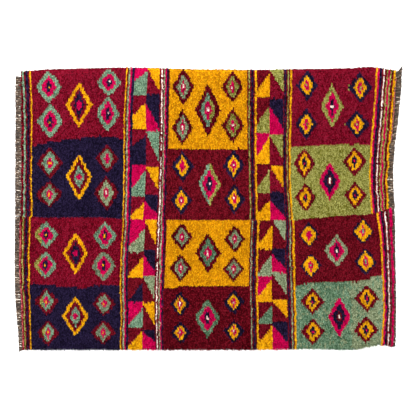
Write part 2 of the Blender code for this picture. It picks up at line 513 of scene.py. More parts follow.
RED_LOWER_LEFT = panel(
    MADDER,
    diamonds((*OLIVE_EDGED_ROSE, core(SAFFRON)), (-795, -135, 59, 66), (-797, -282, 57, 68), bulge=1.12),
    diamonds((*rose(MINT), core(SAFFRON)), (-505, -140, 55, 66), bulge=1.25),
    diamonds((*rose(MOSS), core(SAFFRON)), (-511, -287, 56, 71), bulge=1.25),
    diamonds(YELLOW_LOZENGE, (-649, -225, 62, 103)),
    tone=-0.1,
)
NAVY_LOWER_LEFT = panel(
    NAVY,
    diamonds((*MAROON_OLIVE_MINT, core(SAFFRON)), (-793, -462, 59, 66), (-784, -616, 53, 62), bulge=1.08),
    diamonds(
        (*maroon_edged(MOSS, 0.76), core(SAFFRON)), (-509, -473, 56, 59), (-514, -614, 58, 60), bulge=1.12
    ),
    diamonds(YELLOW_MINT_LOZENGE, (-650, -535, 65, 98)),
    tone=0.1,
)
YELLOW_LOWER_MIDDLE = panel(
    SAFFRON,
    diamonds(
        (*maroon_edged(SAGE), core(IVORY)), (-126, -144, 55, 68), (-133, -297, 55, 68), (134, -155, 52, 68),
        (128, -303, 54, 61)
    ),
    diamonds((*GREEN_LOZENGE, star_core(IVORY)), (2, -224, 63, 100)),
    tone=-0.75,
)
MAROON_LOWER_MIDDLE = panel(
    MAROON,
    diamonds(
        (*NAVY_YELLOW, core(IVORY)), (-136, -475, 51, 63), (-133, -616, 52, 56), (128, -465, 52, 63),
        (130, -609, 52, 58)
    ),
    diamonds((*star(SEA_GREEN), star_core(IVORY)), (0, -544, 62, 98)),
    tone=-0.5,
)
MAROON_LOWER_RIGHT = panel(
    MAROON,
    diamonds(
        (*THIN_NAVY_YELLOW, core(MINT)), (499, -136, 50, 61), (508, -287, 52, 63), (764, -118, 55, 64),
        (778, -267, 55, 64), bulge=1.10
    ),
    diamonds((*star(SAGE), star_core(IVORY)), (635, -212, 60, 83)),
)
GREEN_LOWER_RIGHT = panel(
    SEA_GREEN,
    diamonds(
        (*MAROON_YELLOW, core(FUCHSIA)), (516, -462, 58, 63), (518, -610, 61, 64), (784, -448, 60, 68),
        (780, -601, 61, 67), bulge=1.08
    ),
    diamonds((*FUCHSIA_STAR, star_core(IVORY)), (648, -537, 58, 95)),
    flecks=(Fleck(SAGE, 0.90, from_x=708.0), Fleck(MINT, 0.08), Fleck(SAGE, 0.24)),
)


UPPER_CHART = (
    Run(None, stripes((MAROON, 9))),
    Run(
        WeftLine(-914, -905, -903, -905, -908),
        stripes((MINT, 7.5), (MAROON, 7), (NAVY, 10.5), (MAROON, 7), (SAFFRON, 5.5)),
    ),
    Run(
        WeftLine(-871, -863, -864, -866, -862),
        panel_pair(
            450, 56, RED_UPPER_LEFT, NAVY_UPPER_LEFT, (-859, 306), (-691, 334), (-529, 354), (-416, 339)
        ),
    ),
    Run(
        WeftLine(-399, -410, -414, -415, -419),
        stripes((SAFFRON, 5.5), (MAROON, 7.5), (SAGE, 7.5), (FUCHSIA, 9), (NAVY, 13)),
    ),
    Run(
        WeftLine(-357, -367, -371, -373, -379),
        triangles(
            Side.LEFT, 68, 8, (681, FUCHSIA, 670, 622, MINT), (551, MADDER, 516, 452, SAFFRON),
            (382, MADDER, 356, 302, NAVY), (207, FUCHSIA, 185, 89, MINT), (57, MADDER, 25, -37, SAFFRON)
        ),
    ),
    Run(
        WeftLine(-293, -304, -303, -306, -318),
        triangles(
            Side.RIGHT, 64, 8, (681, SAFFRON, 679, 574, MADDER), (556, NAVY, 516, 388, FUCHSIA),
            (379, MINT, 376, 220, MADDER), (202, SAFFRON, 199, 86, MADDER), (65, NAVY, 34, -37, FUCHSIA)
        ),
    ),
    Run(
        WeftLine(-236, -237, -239, -243, -250),
        stripes(
            (MAROON, 9.5), (IVORY, 5.5), (MAROON, 7), (SAGE, 6.5), (FUCHSIA, 8), (NAVY, 8.5), (MAROON, 6)
        ),
    ),
    Run(
        WeftLine(-186, -190, -194, -199, -205),
        panel_pair(390, 48, YELLOW_UPPER_MIDDLE, MAROON_UPPER_MIDDLE, (-195, 290), (198, 290)),
    ),
    Run(
        WeftLine(195, 194, 196, 198, 203),
        stripes((MAROON, 6.5), (OLIVE, 6), (MAROON, 7.5), (NAVY, 9.5), (MAROON, 7.5), (SAFFRON, 9)),
    ),
    Run(
        WeftLine(242, 241, 240, 242, 246),
        triangles(
            Side.LEFT, 64, 8, (679, MAROON, 665, 569, SAFFRON), (539, MAROON, 502, 403, OLIVE),
            (366, FUCHSIA, 350, 243, SAFFRON), (211, MAROON, 185, 89, OLIVE), (67, MAROON, 36, -31, SAFFRON)
        ),
    ),
    Run(
        WeftLine(307, 304, 304, 305, 309),
        triangles(
            Side.RIGHT, 66, 8, (679, OLIVE, 676, 563, MADDER), (537, NAVY, 502, 384, FUCHSIA),
            (361, OLIVE, 359, 239, MADDER), (209, SAFFRON, 207, 100, MADDER), (76, NAVY, 36, -43, FUCHSIA)
        ),
    ),
    Run(
        WeftLine(373, 373, 370, 372, 383),
        stripes((MAROON, 4), (NAVY, 8.5), (MAROON, 6.5), (OLIVE, 5.5), (MAROON, 6.5), (SAFFRON, 8.5)),
    ),
    Run(
        WeftLine(416, 413, 409, 409, 420),
        panel_pair(398, 49, RED_UPPER_RIGHT, OLIVE_UPPER_RIGHT, (410, 301), (803, 311)),
    ),
    Run(
        WeftLine(830, 818, 803, 794, 805),
        stripes(
            (SAFFRON, 7), (FUCHSIA, 8.5), (NAVY, 9.5), (MAROON, 6.5), (IVORY, 5), (MAROON, 8), (OLIVE, 5.5),
            (FUCHSIA, 9), (OLIVE, 5.5), (MAROON, 9.5), (SAFFRON, 8.5)
        ),
    ),
)

LOWER_CHART = (
    Run(None, stripes((MAROON, 14.5), (OLIVE, 7), (MAROON, 7), (NAVY, 10.5), (MAROON, 7.5), (SAFFRON, 7))),
    Run(
        WeftLine(-866, -871, -875, -876, -870),
        panel_pair(
            442, 55, RED_LOWER_LEFT, NAVY_LOWER_LEFT, (-859, -373), (-598, -397), (-554, -383), (-441, -383)
        ),
    ),
    Run(
        WeftLine(-433, -428, -432, -427, -417),
        stripes((SAFFRON, 5.5), (MAROON, 7), (SAGE, 7.5), (FUCHSIA, 8), (NAVY, 11)),
    ),
    Run(
        WeftLine(-392, -390, -393, -390, -378),
        triangles(
            Side.LEFT, 66, 8, (-52, FUCHSIA, -105, -195, SAGE), (-221, MAROON, -240, -339, SAFFRON),
            (-345, MAROON, -368, -461, NAVY), (-467, FUCHSIA, -492, -579, MINT),
            (-590, MAROON, -607, -686, SAFFRON)
        ),
    ),
    Run(
        WeftLine(-323, -319, -320, -314, -306),
        triangles(
            Side.RIGHT, 56, 7, (-63, SAFFRON, -66, -190, MAROON), (-206, NAVY, -237, -308, FUCHSIA),
            (-334, SAGE, -337, -446, MAROON), (-469, SAFFRON, -472, -576, MAROON),
            (-600, NAVY, -607, -668, FUCHSIA)
        ),
    ),
    Run(
        WeftLine(-257, -262, -261, -257, -250),
        stripes((MAROON, 9), (IVORY, 5), (MAROON, 8), (SAGE, 7), (FUCHSIA, 8.5), (NAVY, 8.5), (MAROON, 6)),
    ),
    Run(
        WeftLine(-213, -216, -213, -206, -201),
        panel_pair(416, 51, YELLOW_LOWER_MIDDLE, MAROON_LOWER_MIDDLE, (-210, -393), (198, -381)),
    ),
    Run(
        WeftLine(208, 207, 203, 206, 211),
        stripes((MAROON, 6), (SAGE, 5), (MAROON, 7), (NAVY, 9), (MAROON, 7), (SAFFRON, 8.5)),
    ),
    Run(
        WeftLine(252, 250, 246, 249, 254),
        triangles(
            Side.LEFT, 69, 8, (-57, MAROON, -88, -178, SAFFRON), (-205, MAROON, -235, -319, SAGE),
            (-339, FUCHSIA, -353, -442, SAFFRON), (-461, MAROON, -480, -555, SEA_GREEN),
            (-574, MAROON, -582, -668, SAFFRON)
        ),
    ),
    Run(
        WeftLine(319, 318, 315, 316, 320),
        triangles(
            Side.RIGHT, 76, 9, (-60, SAGE, -62, -170, MAROON), (-201, NAVY, -229, -303, FUCHSIA),
            (-322, SAGE, -324, -427, MAROON), (-452, SAFFRON, -460, -546, MAROON),
            (-559, NAVY, -579, -668, FUCHSIA)
        ),
    ),
    Run(
        WeftLine(397, 393, 388, 381, 385),
        stripes((MAROON, 5), (NAVY, 8), (MAROON, 6), (SAGE, 6), (MAROON, 7.5), (SAFFRON, 9)),
    ),
    Run(
        WeftLine(438, 436, 432, 428, 427),
        panel_pair(
            420, 52, MAROON_LOWER_RIGHT, GREEN_LOWER_RIGHT, (434, -383), (543, -368), (724, -368),
            (774, -354), (852, -336)
        ),
    ),
    Run(
        WeftLine(852, 863, 858, 850, 830),
        stripes(
            (SAFFRON, 7.5), (FUCHSIA, 7.5), (NAVY, 7.5), (MAROON, 5.5), (IVORY, 5), (MAROON, 7), (BROWN, 4),
            (FUCHSIA, 11)
        ),
    ),
)


# How far the sheared pile stands past the solid's rim, y by x
UPPER_TRIM = (
    Place(-900, 5.5), Place(-420, 6), Place(-300, 5), Place(-180, 3.5), Place(-20, 2), Place(50, 4),
    Place(450, 4), Place(560, 3), Place(740, 3), Place(900, 5)
)
LOWER_TRIM = (
    Place(-880, 0.5), Place(-640, -2), Place(-430, -1), Place(-200, 0), Place(10, 2.5), Place(300, 6),
    Place(470, 5), Place(740, 2), Place(820, 3)
)


# How far the knots stand past the solid's right pile end, x by y
UPPER_END_TRIM = (
    Place(0, -3), Place(70, -4), Place(137, -7), Place(180, -3), Place(211, 3), Place(250, 0),
    Place(310, 0), Place(383, -4), Place(457, -5), Place(530, -7), Place(580, -7), Place(655, 0)
)


def new_material(name: str) -> tuple[Material, NodeTree, NodeSocket]:
    """Start a material.

    Args:
        name: The material's name.

    Returns:
        The material, its tree and the Object coordinates in it.
    """
    made = bpy.data.materials.new(name)
    made.use_nodes = True
    return made, made.node_tree, add_node(made.node_tree, "ShaderNodeTexCoord").outputs["Object"]


def mottled_shade(tree: NodeTree, fibres: Node, mottle: float) -> Node:
    """Lay the light and dark of fibres over the attribute shade.

    Args:
        tree: The material's tree.
        fibres: The noise that draws the fibres.
        mottle: How far the fibres change the shade.

    Returns:
        The node that picks a place on the material's colour ramp.
    """
    shade = add_node(tree, "ShaderNodeAttribute", attribute_name="shade").outputs["Fac"]
    laid = add_node(tree, "ShaderNodeMath", {0: fibres, 1: mottle, 2: shade}, operation="MULTIPLY_ADD")
    return add_node(tree, "ShaderNodeMath", {0: laid, 1: mottle / 2}, operation="SUBTRACT")


def set_stops(ramp: Node, *stops: tuple[float, str]) -> None:
    """Give a colour ramp its stops.

    Args:
        ramp: The ramp's node.
        stops: A place from 0 to 1 and an sRGB hex colour each, from the first to the last.
    """
    row = ramp.color_ramp.elements
    for end in (0, -1):
        row[end].position = stops[end][0]
        row[end].color = linear(stops[end][1])
    for place, colour in stops[1:-1]:
        row.new(place).color = linear(colour)


def finish_shader(tree: NodeTree, colour: NodeSocket, bump: Node, values: dict[str, object]) -> None:
    """Link a material's colour and bump to its shader and set the shader's other inputs.

    Args:
        tree: The material's tree.
        colour: The output that gives the colour.
        bump: The bump node.
        values: A value for each of the shader's own inputs that isn't left alone.
    """
    shader = tree.nodes["Principled BSDF"]
    tree.links.new(colour, shader.inputs["Base Color"])
    tree.links.new(bump.outputs["Normal"], shader.inputs["Normal"])
    for name, value in values.items():
        shader.inputs[name].default_value = value


@dataclass(frozen=True)
class WoolFinish:
    """Hand-spun sheep's wool of one dye, knotted and sheared.

    The cut fibres scatter light, so the pile is matt with a faint bloom, and uneven dyeing makes each yarn
    end a little lighter or darker than the next. Light dies out between the roots, and the wool is painted
    darker there, as painted shade.
    """

    name: str
    deep: str
    body: str
    bright: str
    roughness: float = 0.80
    gloss: float = 0.02
    sheen: float = 0.05
    fibre_clump: float = 1.4
    fibre_depth: float = 0.35
    mottle: float = 0.5
    # How dark the painted shade at the foot of a lock is: the share of dark mixed into the wool there
    painted_root_shadow: float = 0.75

    def material(self) -> Material:
        """The wool's material. Fibres are drawn 1.4 mm wide, coarser than real ones, so that they show.

        Returns:
            A material that reads the attributes shade and rise of the yarn ends, and paints shade lower down
            by rise.
        """
        made, tree, place = new_material(self.name)
        fibres = add_node(
            tree,
            "ShaderNodeTexNoise",
            {"Vector": place, "Scale": 1.0 / (self.fibre_clump * MM), "Detail": 2.0, "Roughness": 0.6},
        )
        ramp = add_node(tree, "ShaderNodeValToRGB", {"Fac": mottled_shade(tree, fibres, self.mottle)})
        set_stops(ramp, (0.0, self.deep), (0.5, self.body), (1.0, self.bright))
        # Painted shade: the wool is mixed towards dark, most at a lock's foot and none at its tip, where the
        # pile's own shade would fall
        rise = add_node(tree, "ShaderNodeAttribute", attribute_name="rise").outputs["Fac"]
        low = add_node(tree, "ShaderNodeMapRange", {"Value": rise, "To Min": self.painted_root_shadow, "To Max": 0.0})
        # A Mix node lists the sockets of every data type: 6 and 7 are its colours, and 2 is its mixed colour
        painted_shadow_black = (0.0, 0.0, 0.0, 1.0)
        wool = add_node(tree, "ShaderNodeMix", {"Factor": low, 6: ramp, 7: painted_shadow_black}, data_type="RGBA")
        bump = add_node(
            tree, "ShaderNodeBump", {"Height": fibres, "Distance": self.fibre_depth * MM, "Strength": 0.6}
        )
        values = {
            "Roughness": self.roughness,
            "Specular IOR Level": self.gloss,
            "Sheen Weight": self.sheen,
            "Sheen Tint": linear(self.bright),
        }
        finish_shader(tree, wool.outputs[2], bump, values)
        return made


# Saffron and ivory get a lighter painted shade at their roots than the other dyes
WOOL_FINISHES = {
    MADDER: WoolFinish("madder_red_wool", "#4e020c", "#880722", "#a4203d"),
    MAROON: WoolFinish("dark_madder_wool", "#3b0208", "#6f0818", "#961e30"),
    NAVY: WoolFinish("indigo_navy_wool", "#0d091c", "#1c132d", "#362b50"),
    SAFFRON: WoolFinish("saffron_yellow_wool", "#b67808", "#e4a008", "#f6bc16", painted_root_shadow=0.42),
    FUCHSIA: WoolFinish("fuchsia_wool", "#a00038", "#d60254", "#ea0e62"),
    MINT: WoolFinish("mint_green_wool", "#4d6a54", "#76997e", "#a4c6a4"),
    SEA_GREEN: WoolFinish("sea_green_wool", "#3e6243", "#678a6b", "#94b493"),
    SAGE: WoolFinish("sage_green_wool", "#677452", "#919f79", "#bdc9a2"),
    MOSS: WoolFinish("moss_green_wool", "#55634a", "#7c8e70", "#a4b494"),
    OLIVE: WoolFinish("olive_green_wool", "#6a671a", "#999744", "#c7c572"),
    IVORY: WoolFinish("undyed_ivory_wool", "#a47c78", "#f0dace", "#fff6ec", painted_root_shadow=0.20),
    BROWN: WoolFinish("undyed_brown_wool", "#3a2824", "#5a403a", "#765a50"),
}


@dataclass(frozen=True)
class YarnFinish:
    """Twisted yarn that isn't cut, goat hair or dyed wool, with a slight gloss along its plies."""

    name: str
    shades: tuple[str, ...]
    roughness: float = 0.72
    ior: float = 1.54
    sheen: float = 0.1
    fibre_clump: float = 0.9
    fibre_depth: float = 0.25
    mottle: float = 0.3

    def material(self) -> Material:
        """The yarn's material, which picks each strand's colour by the attribute shade.

        Returns:
            A material with fibres drawn 0.9 mm wide, coarser than real ones, so that they show.
        """
        made, tree, place = new_material(self.name)
        clumps = {"Vector": place, "Scale": 1.0 / (self.fibre_clump * MM), "Detail": 3.0}
        fibres = add_node(tree, "ShaderNodeTexNoise", clumps)
        ramp = add_node(tree, "ShaderNodeValToRGB", {"Fac": mottled_shade(tree, fibres, self.mottle)})
        last = len(self.shades) - 1
        set_stops(ramp, *((number / last, shade) for number, shade in enumerate(self.shades)))
        bump = add_node(
            tree, "ShaderNodeBump", {"Height": fibres, "Distance": self.fibre_depth * MM, "Strength": 0.7}
        )
        values = {"Roughness": self.roughness, "IOR": self.ior, "Sheen Weight": self.sheen}
        finish_shader(tree, ramp.outputs["Color"], bump, values)
        return made


GOAT_HAIR = YarnFinish("twisted_goat_hair", ("#150d08", "#2b1f16", "#4d3c2e", "#8b745f", "#fbf3e6"))
CORAL_YARN = YarnFinish("coral_twined_wool", ("#8e3238", "#bb464c", "#da7470"))
DARK_YARN = YarnFinish("dark_twined_wool", ("#35231f", "#4b332d", "#5f443b"))
SEWING_YARN = YarnFinish("sewing_yarn", ("#5a1420", "#6f1a28", "#842636"))


@dataclass(frozen=True)
class WovenGround:
    """The weft-faced plain weave that carries the knots, brown goat hair warps under wool wefts.

    It shows on the back as fine ribs: warps 5 mm apart, because each knot sits on two of them, and wefts
    2 mm apart.
    """

    name: str = "plain_woven_ground"
    thread: str = "#6b5547"
    shaded_groove: str = "#3d2d25"
    warp_pitch: float = 5.0
    weft_pitch: float = 2.0
    relief: float = 0.5
    roughness: float = 0.85

    def material(self) -> Material:
        """The ground's material, with its weave as two crossed waves and painted shade in the low places
        between threads.

        Returns:
            A material on Object coordinates.
        """
        made, tree, place = new_material(self.name)
        # A wave texture repeats every tau over twenty times its scale
        turn = math.tau / 20.0
        warps = add_node(
            tree,
            "ShaderNodeTexWave",
            {"Vector": place, "Scale": turn / (self.warp_pitch * MM), "Distortion": 0.4},
            bands_direction="Y",
        ).outputs["Fac"]
        wefts = add_node(
            tree,
            "ShaderNodeTexWave",
            {"Vector": place, "Scale": turn / (self.weft_pitch * MM), "Distortion": 0.3},
            bands_direction="X",
        ).outputs["Fac"]
        weave = add_node(tree, "ShaderNodeMath", {0: warps, 1: wefts}, operation="MULTIPLY")
        # Painted shade: the colour darkens where the weave is low, between the threads, just where the bump
        # sinks
        ramp = add_node(tree, "ShaderNodeValToRGB", {"Fac": weave})
        set_stops(ramp, (0.0, self.shaded_groove), (1.0, self.thread))
        bump = add_node(tree, "ShaderNodeBump", {"Height": weave, "Distance": self.relief * MM})
        finish_shader(tree, ramp.outputs["Color"], bump, {"Roughness": self.roughness})
        return made


@dataclass(frozen=True)
class FeltedHair:
    """Loose goat hair matted between the warp ends: dull, streaked along them, with its hollows painted dark
    as shade.
    """

    name: str = "matted_goat_hair"
    shaded_hollow: str = "#1c140e"
    hair: str = "#524132"
    streak: float = 3.0
    stretch: float = 5.0
    relief: float = 0.6
    roughness: float = 0.9
    gloss: float = 0.1

    def material(self) -> Material:
        """The matted hair's material.

        Returns:
            A material whose noise is 3 mm wide across the warps and five times as long along them.
        """
        made, tree, place = new_material(self.name)
        along = {"Vector": place, "Scale": (1.0 / self.stretch, 1.0, 1.0)}
        drawn = add_node(tree, "ShaderNodeMapping", along)
        streaks = {"Vector": drawn, "Scale": 1.0 / (self.streak * MM), "Detail": 4.0}
        hairs = add_node(tree, "ShaderNodeTexNoise", streaks)
        # The noise that sinks the bump also picks the colour: its dark end is painted shade in the hollows,
        # its light end the hair
        ramp = add_node(tree, "ShaderNodeValToRGB", {"Fac": hairs})
        set_stops(ramp, (0.35, self.shaded_hollow), (0.65, self.hair))
        bump = add_node(tree, "ShaderNodeBump", {"Height": hairs, "Distance": self.relief * MM})
        values = {"Roughness": self.roughness, "Specular IOR Level": self.gloss}
        finish_shader(tree, ramp.outputs["Color"], bump, values)
        return made


def new_tree(name: str, inputs: dict[str, str]) -> tuple[NodeTree, Node]:
    """Start a Geometry Nodes tree with named inputs and one geometry output.

    Args:
        name: The tree's name.
        inputs: The kind of each input's socket, such as Float, by the input's name.

    Returns:
        The tree and its group input node.
    """
    tree = bpy.data.node_groups.new(name, "GeometryNodeTree")
    for label, kind in inputs.items():
        tree.interface.new_socket(label, in_out="INPUT", socket_type=f"NodeSocket{kind}")
    tree.interface.new_socket("Geometry", in_out="OUTPUT", socket_type="NodeSocketGeometry")
    return tree, tree.nodes.new("NodeGroupInput")


def end_tree(tree: NodeTree, parts: Sequence[Node]) -> None:
    """Join a tree's parts, realize what is instanced and hand the result out.

    Args:
        tree: The tree to end.
        parts: The nodes whose geometry is joined.
    """
    joined = add_node(tree, "GeometryNodeJoinGeometry")
    for part in parts:
        tree.links.new(part.outputs[0], joined.inputs[0])
    real = add_node(tree, "GeometryNodeRealizeInstances", {"Geometry": joined})
    add_node(tree, "NodeGroupOutput", {0: real})


def add_piece(name: str, mesh: Mesh) -> Object:
    """Put a mesh in the scene as a piece at the origin.

    Args:
        name: The name of the piece and its mesh.
        mesh: The mesh, whose places are the scene's.

    Returns:
        The piece.
    """
    mesh.name = name
    piece = bpy.data.objects.new(name, mesh)
    bpy.context.scene.collection.objects.link(piece)
    return piece


def made_plain(
    carrier: Object, tree: NodeTree, name: str, settings: dict[str, object], keep: Sequence[str]
) -> Object:
    """Run a tree on a carrier and keep its result as a plain mesh.

    Args:
        carrier: The points or strands that the tree works on. It is removed.
        tree: The Geometry Nodes tree.
        name: The finished piece's name.
        settings: A value for each of the tree's named inputs.
        keep: The attributes that the materials read. The others are removed.

    Returns:
        The finished piece, which stands at the origin.
    """
    modifier = carrier.modifiers.new("make", "NODES")
    modifier.node_group = tree
    for item in tree.interface.items_tree:
        if item.name in settings:
            modifier[item.identifier] = settings[item.name]
    depsgraph = bpy.context.evaluated_depsgraph_get()
    evaluated = carrier.evaluated_get(depsgraph)
    mesh = bpy.data.meshes.new_from_object(evaluated, preserve_all_data_layers=True, depsgraph=depsgraph)
    carrier.modifiers.remove(modifier)
    bpy.data.objects.remove(carrier)
    kept = (*keep, "material_index", "sharp_face", "sharp_edge")
    for spare in [each.name for each in mesh.attributes if not each.is_required and not each.is_internal]:
        if spare not in kept:
            mesh.attributes.remove(mesh.attributes[spare])
    return add_piece(name, mesh)


def grid_cells(grid: np.ndarray) -> tuple[np.ndarray, np.ndarray]:
    """Cut a grid of points into four-cornered cells.

    Args:
        grid: The points' numbers, in rows.

    Returns:
        Four corners for each cell, and the points in order round the border.
    """
    cells = np.stack([grid[:-1, :-1], grid[1:, :-1], grid[1:, 1:], grid[:-1, 1:]], axis=-1).reshape(-1, 4)
    border = np.concatenate([grid[:-1, 0], grid[-1, :-1], grid[:0:-1, -1], grid[0, :0:-1]])
    return cells, border


def closed_slab(
    name: str, x: np.ndarray, y: np.ndarray, top: np.ndarray, bottom: float, material: Material
) -> Object:
    """A closed slab over a grid of places.

    Args:
        name: The piece's name.
        x: The x of the grid's places, whose rows run from the left to the right.
        y: Their y.
        top: The height of the slab's top at each place.
        bottom: The height of its flat underside.
        material: The slab's material.

    Returns:
        The finished piece.
    """
    upper = np.stack([x, y, top], axis=-1).reshape(-1, 3)
    lower = upper.copy()
    lower[:, 2] = bottom
    grid = np.arange(len(upper)).reshape(x.shape)
    if y[0, -1] < y[0, 0]:
        grid = grid[:, ::-1]
    cells, border = grid_cells(grid)
    below = len(upper)
    walls = np.stack([border, border + below, np.roll(border, -1) + below, np.roll(border, -1)], axis=1)
    mesh = bpy.data.meshes.new(name)
    faces = [*cells.tolist(), *(cells[:, ::-1] + below).tolist(), *walls.tolist()]
    mesh.from_pydata((np.concatenate([upper, lower]) * MM).tolist(), [], faces)
    mesh.materials.append(material)
    mesh.update()
    return add_piece(name, mesh)


def carrier_of(places: np.ndarray, edges: np.ndarray | None, attributes: dict[str, np.ndarray]) -> Object:
    """Points, or strands of edges, with attributes for a tree to work on.

    Args:
        places: One row of x, y and z in metres for each point.
        edges: Pairs of point numbers, or None.
        attributes: One number or one vector for each point, by name.

    Returns:
        An object that only carries the points.
    """
    mesh = bpy.data.meshes.new("carrier")
    mesh.vertices.add(len(places))
    mesh.vertices.foreach_set("co", places.astype(np.float32).ravel())
    if edges is not None:
        mesh.edges.add(len(edges))
        mesh.edges.foreach_set("vertices", edges.astype(np.int32).ravel())
    for name, values in attributes.items():
        kind, field = ("FLOAT_VECTOR", "vector") if values.ndim == 2 else ("FLOAT", "value")
        layer = mesh.attributes.new(name, kind, "POINT")
        layer.data.foreach_set(field, values.astype(np.float32).ravel())
    return add_piece("carrier", mesh)


class TuftTree:
    """The tree that grows a tuft of pointed locks out of every knot.

    Its input points carry cell (the knot's share of the ground and the pile's height), lean and shade.
    Every lock of a tuft makes its draws with a seed of its own, and one more seed sets how it strays.
    """

    LOCKS = 6
    SIDES = 3
    SEED_STEP = 101.0
    STRAY_SEED_STEP = 50.0
    SIZES = ("Girth", "Spread", "Splay", "Wander", "Shortest", "Longest", "Shade spread")

    def __init__(self) -> None:
        """Build the tree."""
        sizes = dict.fromkeys(self.SIZES, "Float")
        inputs = {"Knots": "Geometry", **sizes, "Seed": "Int", "Wool": "Material"}
        self.tree, given = new_tree("knotted_tufts", inputs)
        self.given = given.outputs
        carried = "GeometryNodeInputNamedAttribute"
        self.cell = add_node(self.tree, carried, {"Name": "cell"}, data_type="FLOAT_VECTOR")
        self.lean = add_node(self.tree, carried, {"Name": "lean"}, data_type="FLOAT_VECTOR")
        self.tone = add_node(self.tree, carried, {"Name": "shade"}, data_type="FLOAT")
        self.sizes = add_node(self.tree, "ShaderNodeSeparateXYZ", {0: self.cell}).outputs
        sides = {0: self.sizes["X"], 1: self.sizes["Y"]}
        area = add_node(self.tree, "ShaderNodeMath", sides, operation="MULTIPLY")
        self.girth = add_node(self.tree, "ShaderNodeMath", {0: area}, operation="SQRT")
        lock = self.one_lock()
        end_tree(self.tree, [self.lock_on_knots(lock, number) for number in range(self.LOCKS)])

    def one_lock(self) -> Node:
        """One lock of length 1, a pointed cone in its wool.

        Returns:
            The node that gives the lock, whose attribute rise is the height along it.
        """
        tree = self.tree
        cone = {"Vertices": self.SIDES, "Side Segments": 1, "Radius Top": 0.0, "Depth": 1.0}
        lock = add_node(tree, "GeometryNodeMeshCone", {**cone, "Radius Bottom": self.given["Girth"]})
        height = add_node(tree, "ShaderNodeSeparateXYZ", {0: add_node(tree, "GeometryNodeInputPosition")})
        # rise is the height along the lock, by which the wool paints shade towards its foot
        risen = add_node(
            tree,
            "GeometryNodeStoreNamedAttribute",
            {"Geometry": lock, "Name": "rise", "Value": height.outputs["Z"]},
            data_type="FLOAT",
            domain="POINT",
        )
        soft = add_node(tree, "GeometryNodeSetShadeSmooth", {"Geometry": risen})
        return add_node(tree, "GeometryNodeSetMaterial", {"Geometry": soft, "Material": self.given["Wool"]})

    def lock_on_knots(self, lock: Node, number: int) -> Node:
        """Grow one lock on every knot.

        Args:
            lock: The node that gives the lock.
            number: The lock's number in its tuft, which sets its draws.

        Returns:
            The node that gives the locks.
        """
        tree, given = self.tree, self.given
        step = {0: given["Seed"], 1: self.SEED_STEP * (number + 1)}
        seed = add_node(tree, "ShaderNodeMath", step, operation="ADD").outputs[0]
        rooted = add_node(
            tree,
            "FunctionNodeRandomValue",
            {0: (-0.5, -0.5, 0.0), 1: (0.5, 0.5, 0.0), "Seed": seed},
            data_type="FLOAT_VECTOR",
        )
        apart = add_node(
            tree, "ShaderNodeVectorMath", {0: rooted, "Scale": given["Spread"]}, operation="SCALE"
        )
        offset = add_node(tree, "ShaderNodeVectorMath", {0: apart, 1: self.cell}, operation="MULTIPLY")
        spots = add_node(tree, "GeometryNodeSetPosition", {"Geometry": given["Knots"], "Offset": offset})
        lengths = {2: given["Shortest"], 3: given["Longest"], "Seed": seed}
        cut = add_node(tree, "FunctionNodeRandomValue", lengths, data_type="FLOAT").outputs[1]
        tall = add_node(tree, "ShaderNodeMath", {0: self.sizes["Z"], 1: cut}, operation="MULTIPLY")
        size = add_node(tree, "ShaderNodeCombineXYZ", {"X": self.girth, "Y": self.girth, "Z": tall})
        placed = add_node(
            tree,
            "GeometryNodeInstanceOnPoints",
            {"Points": spots, "Instance": lock, "Rotation": self.stance(seed, rooted), "Scale": size},
        )
        shifts = {2: -1.0, 3: 1.0, "Seed": seed}
        shift = add_node(tree, "FunctionNodeRandomValue", shifts, data_type="FLOAT").outputs[1]
        shifted = {0: shift, 1: given["Shade spread"], 2: self.tone}
        toned = add_node(tree, "ShaderNodeMath", shifted, operation="MULTIPLY_ADD")
        return add_node(
            tree,
            "GeometryNodeStoreNamedAttribute",
            {"Geometry": placed, "Name": "shade", "Value": toned},
            data_type="FLOAT",
            domain="INSTANCE",
        )

    def stance(self, seed: NodeSocket, rooted: Node) -> Node:
        """Turn each lock as its knot leans, outwards from the knot's middle and a little astray.

        Args:
            seed: The lock's seed.
            rooted: The node that says where in its knot each lock stands.

        Returns:
            The node that gives each lock's turn.
        """
        tree, given = self.tree, self.given
        other_seed = add_node(tree, "ShaderNodeMath", {0: seed, 1: self.STRAY_SEED_STEP}, operation="ADD")
        astray = add_node(
            tree,
            "FunctionNodeRandomValue",
            {0: (-1.0, -1.0, 0.0), 1: (1.0, 1.0, 0.0), "Seed": other_seed},
            data_type="FLOAT_VECTOR",
        )
        strayed = add_node(
            tree, "ShaderNodeVectorMath", {0: astray, "Scale": given["Wander"]}, operation="SCALE"
        )
        opened = add_node(
            tree, "ShaderNodeVectorMath", {0: rooted, "Scale": given["Splay"]}, operation="SCALE"
        )
        loose = add_node(tree, "ShaderNodeVectorMath", {0: strayed, 1: opened}, operation="ADD")
        way = add_node(tree, "ShaderNodeVectorMath", {0: self.lean, 1: loose}, operation="ADD")
        stand = add_node(tree, "FunctionNodeAlignRotationToVector", {"Vector": way}, axis="Z")
        turns = {2: 0.0, 3: math.tau, "Seed": seed}
        spin = add_node(tree, "FunctionNodeRandomValue", turns, data_type="FLOAT").outputs[1]
        twist = add_node(tree, "FunctionNodeAxisAngleToRotation", {"Angle": spin})
        return add_node(
            tree,
            "FunctionNodeRotateRotation",
            {"Rotation": stand, "Rotate By": twist},
            rotation_space="LOCAL",
        )


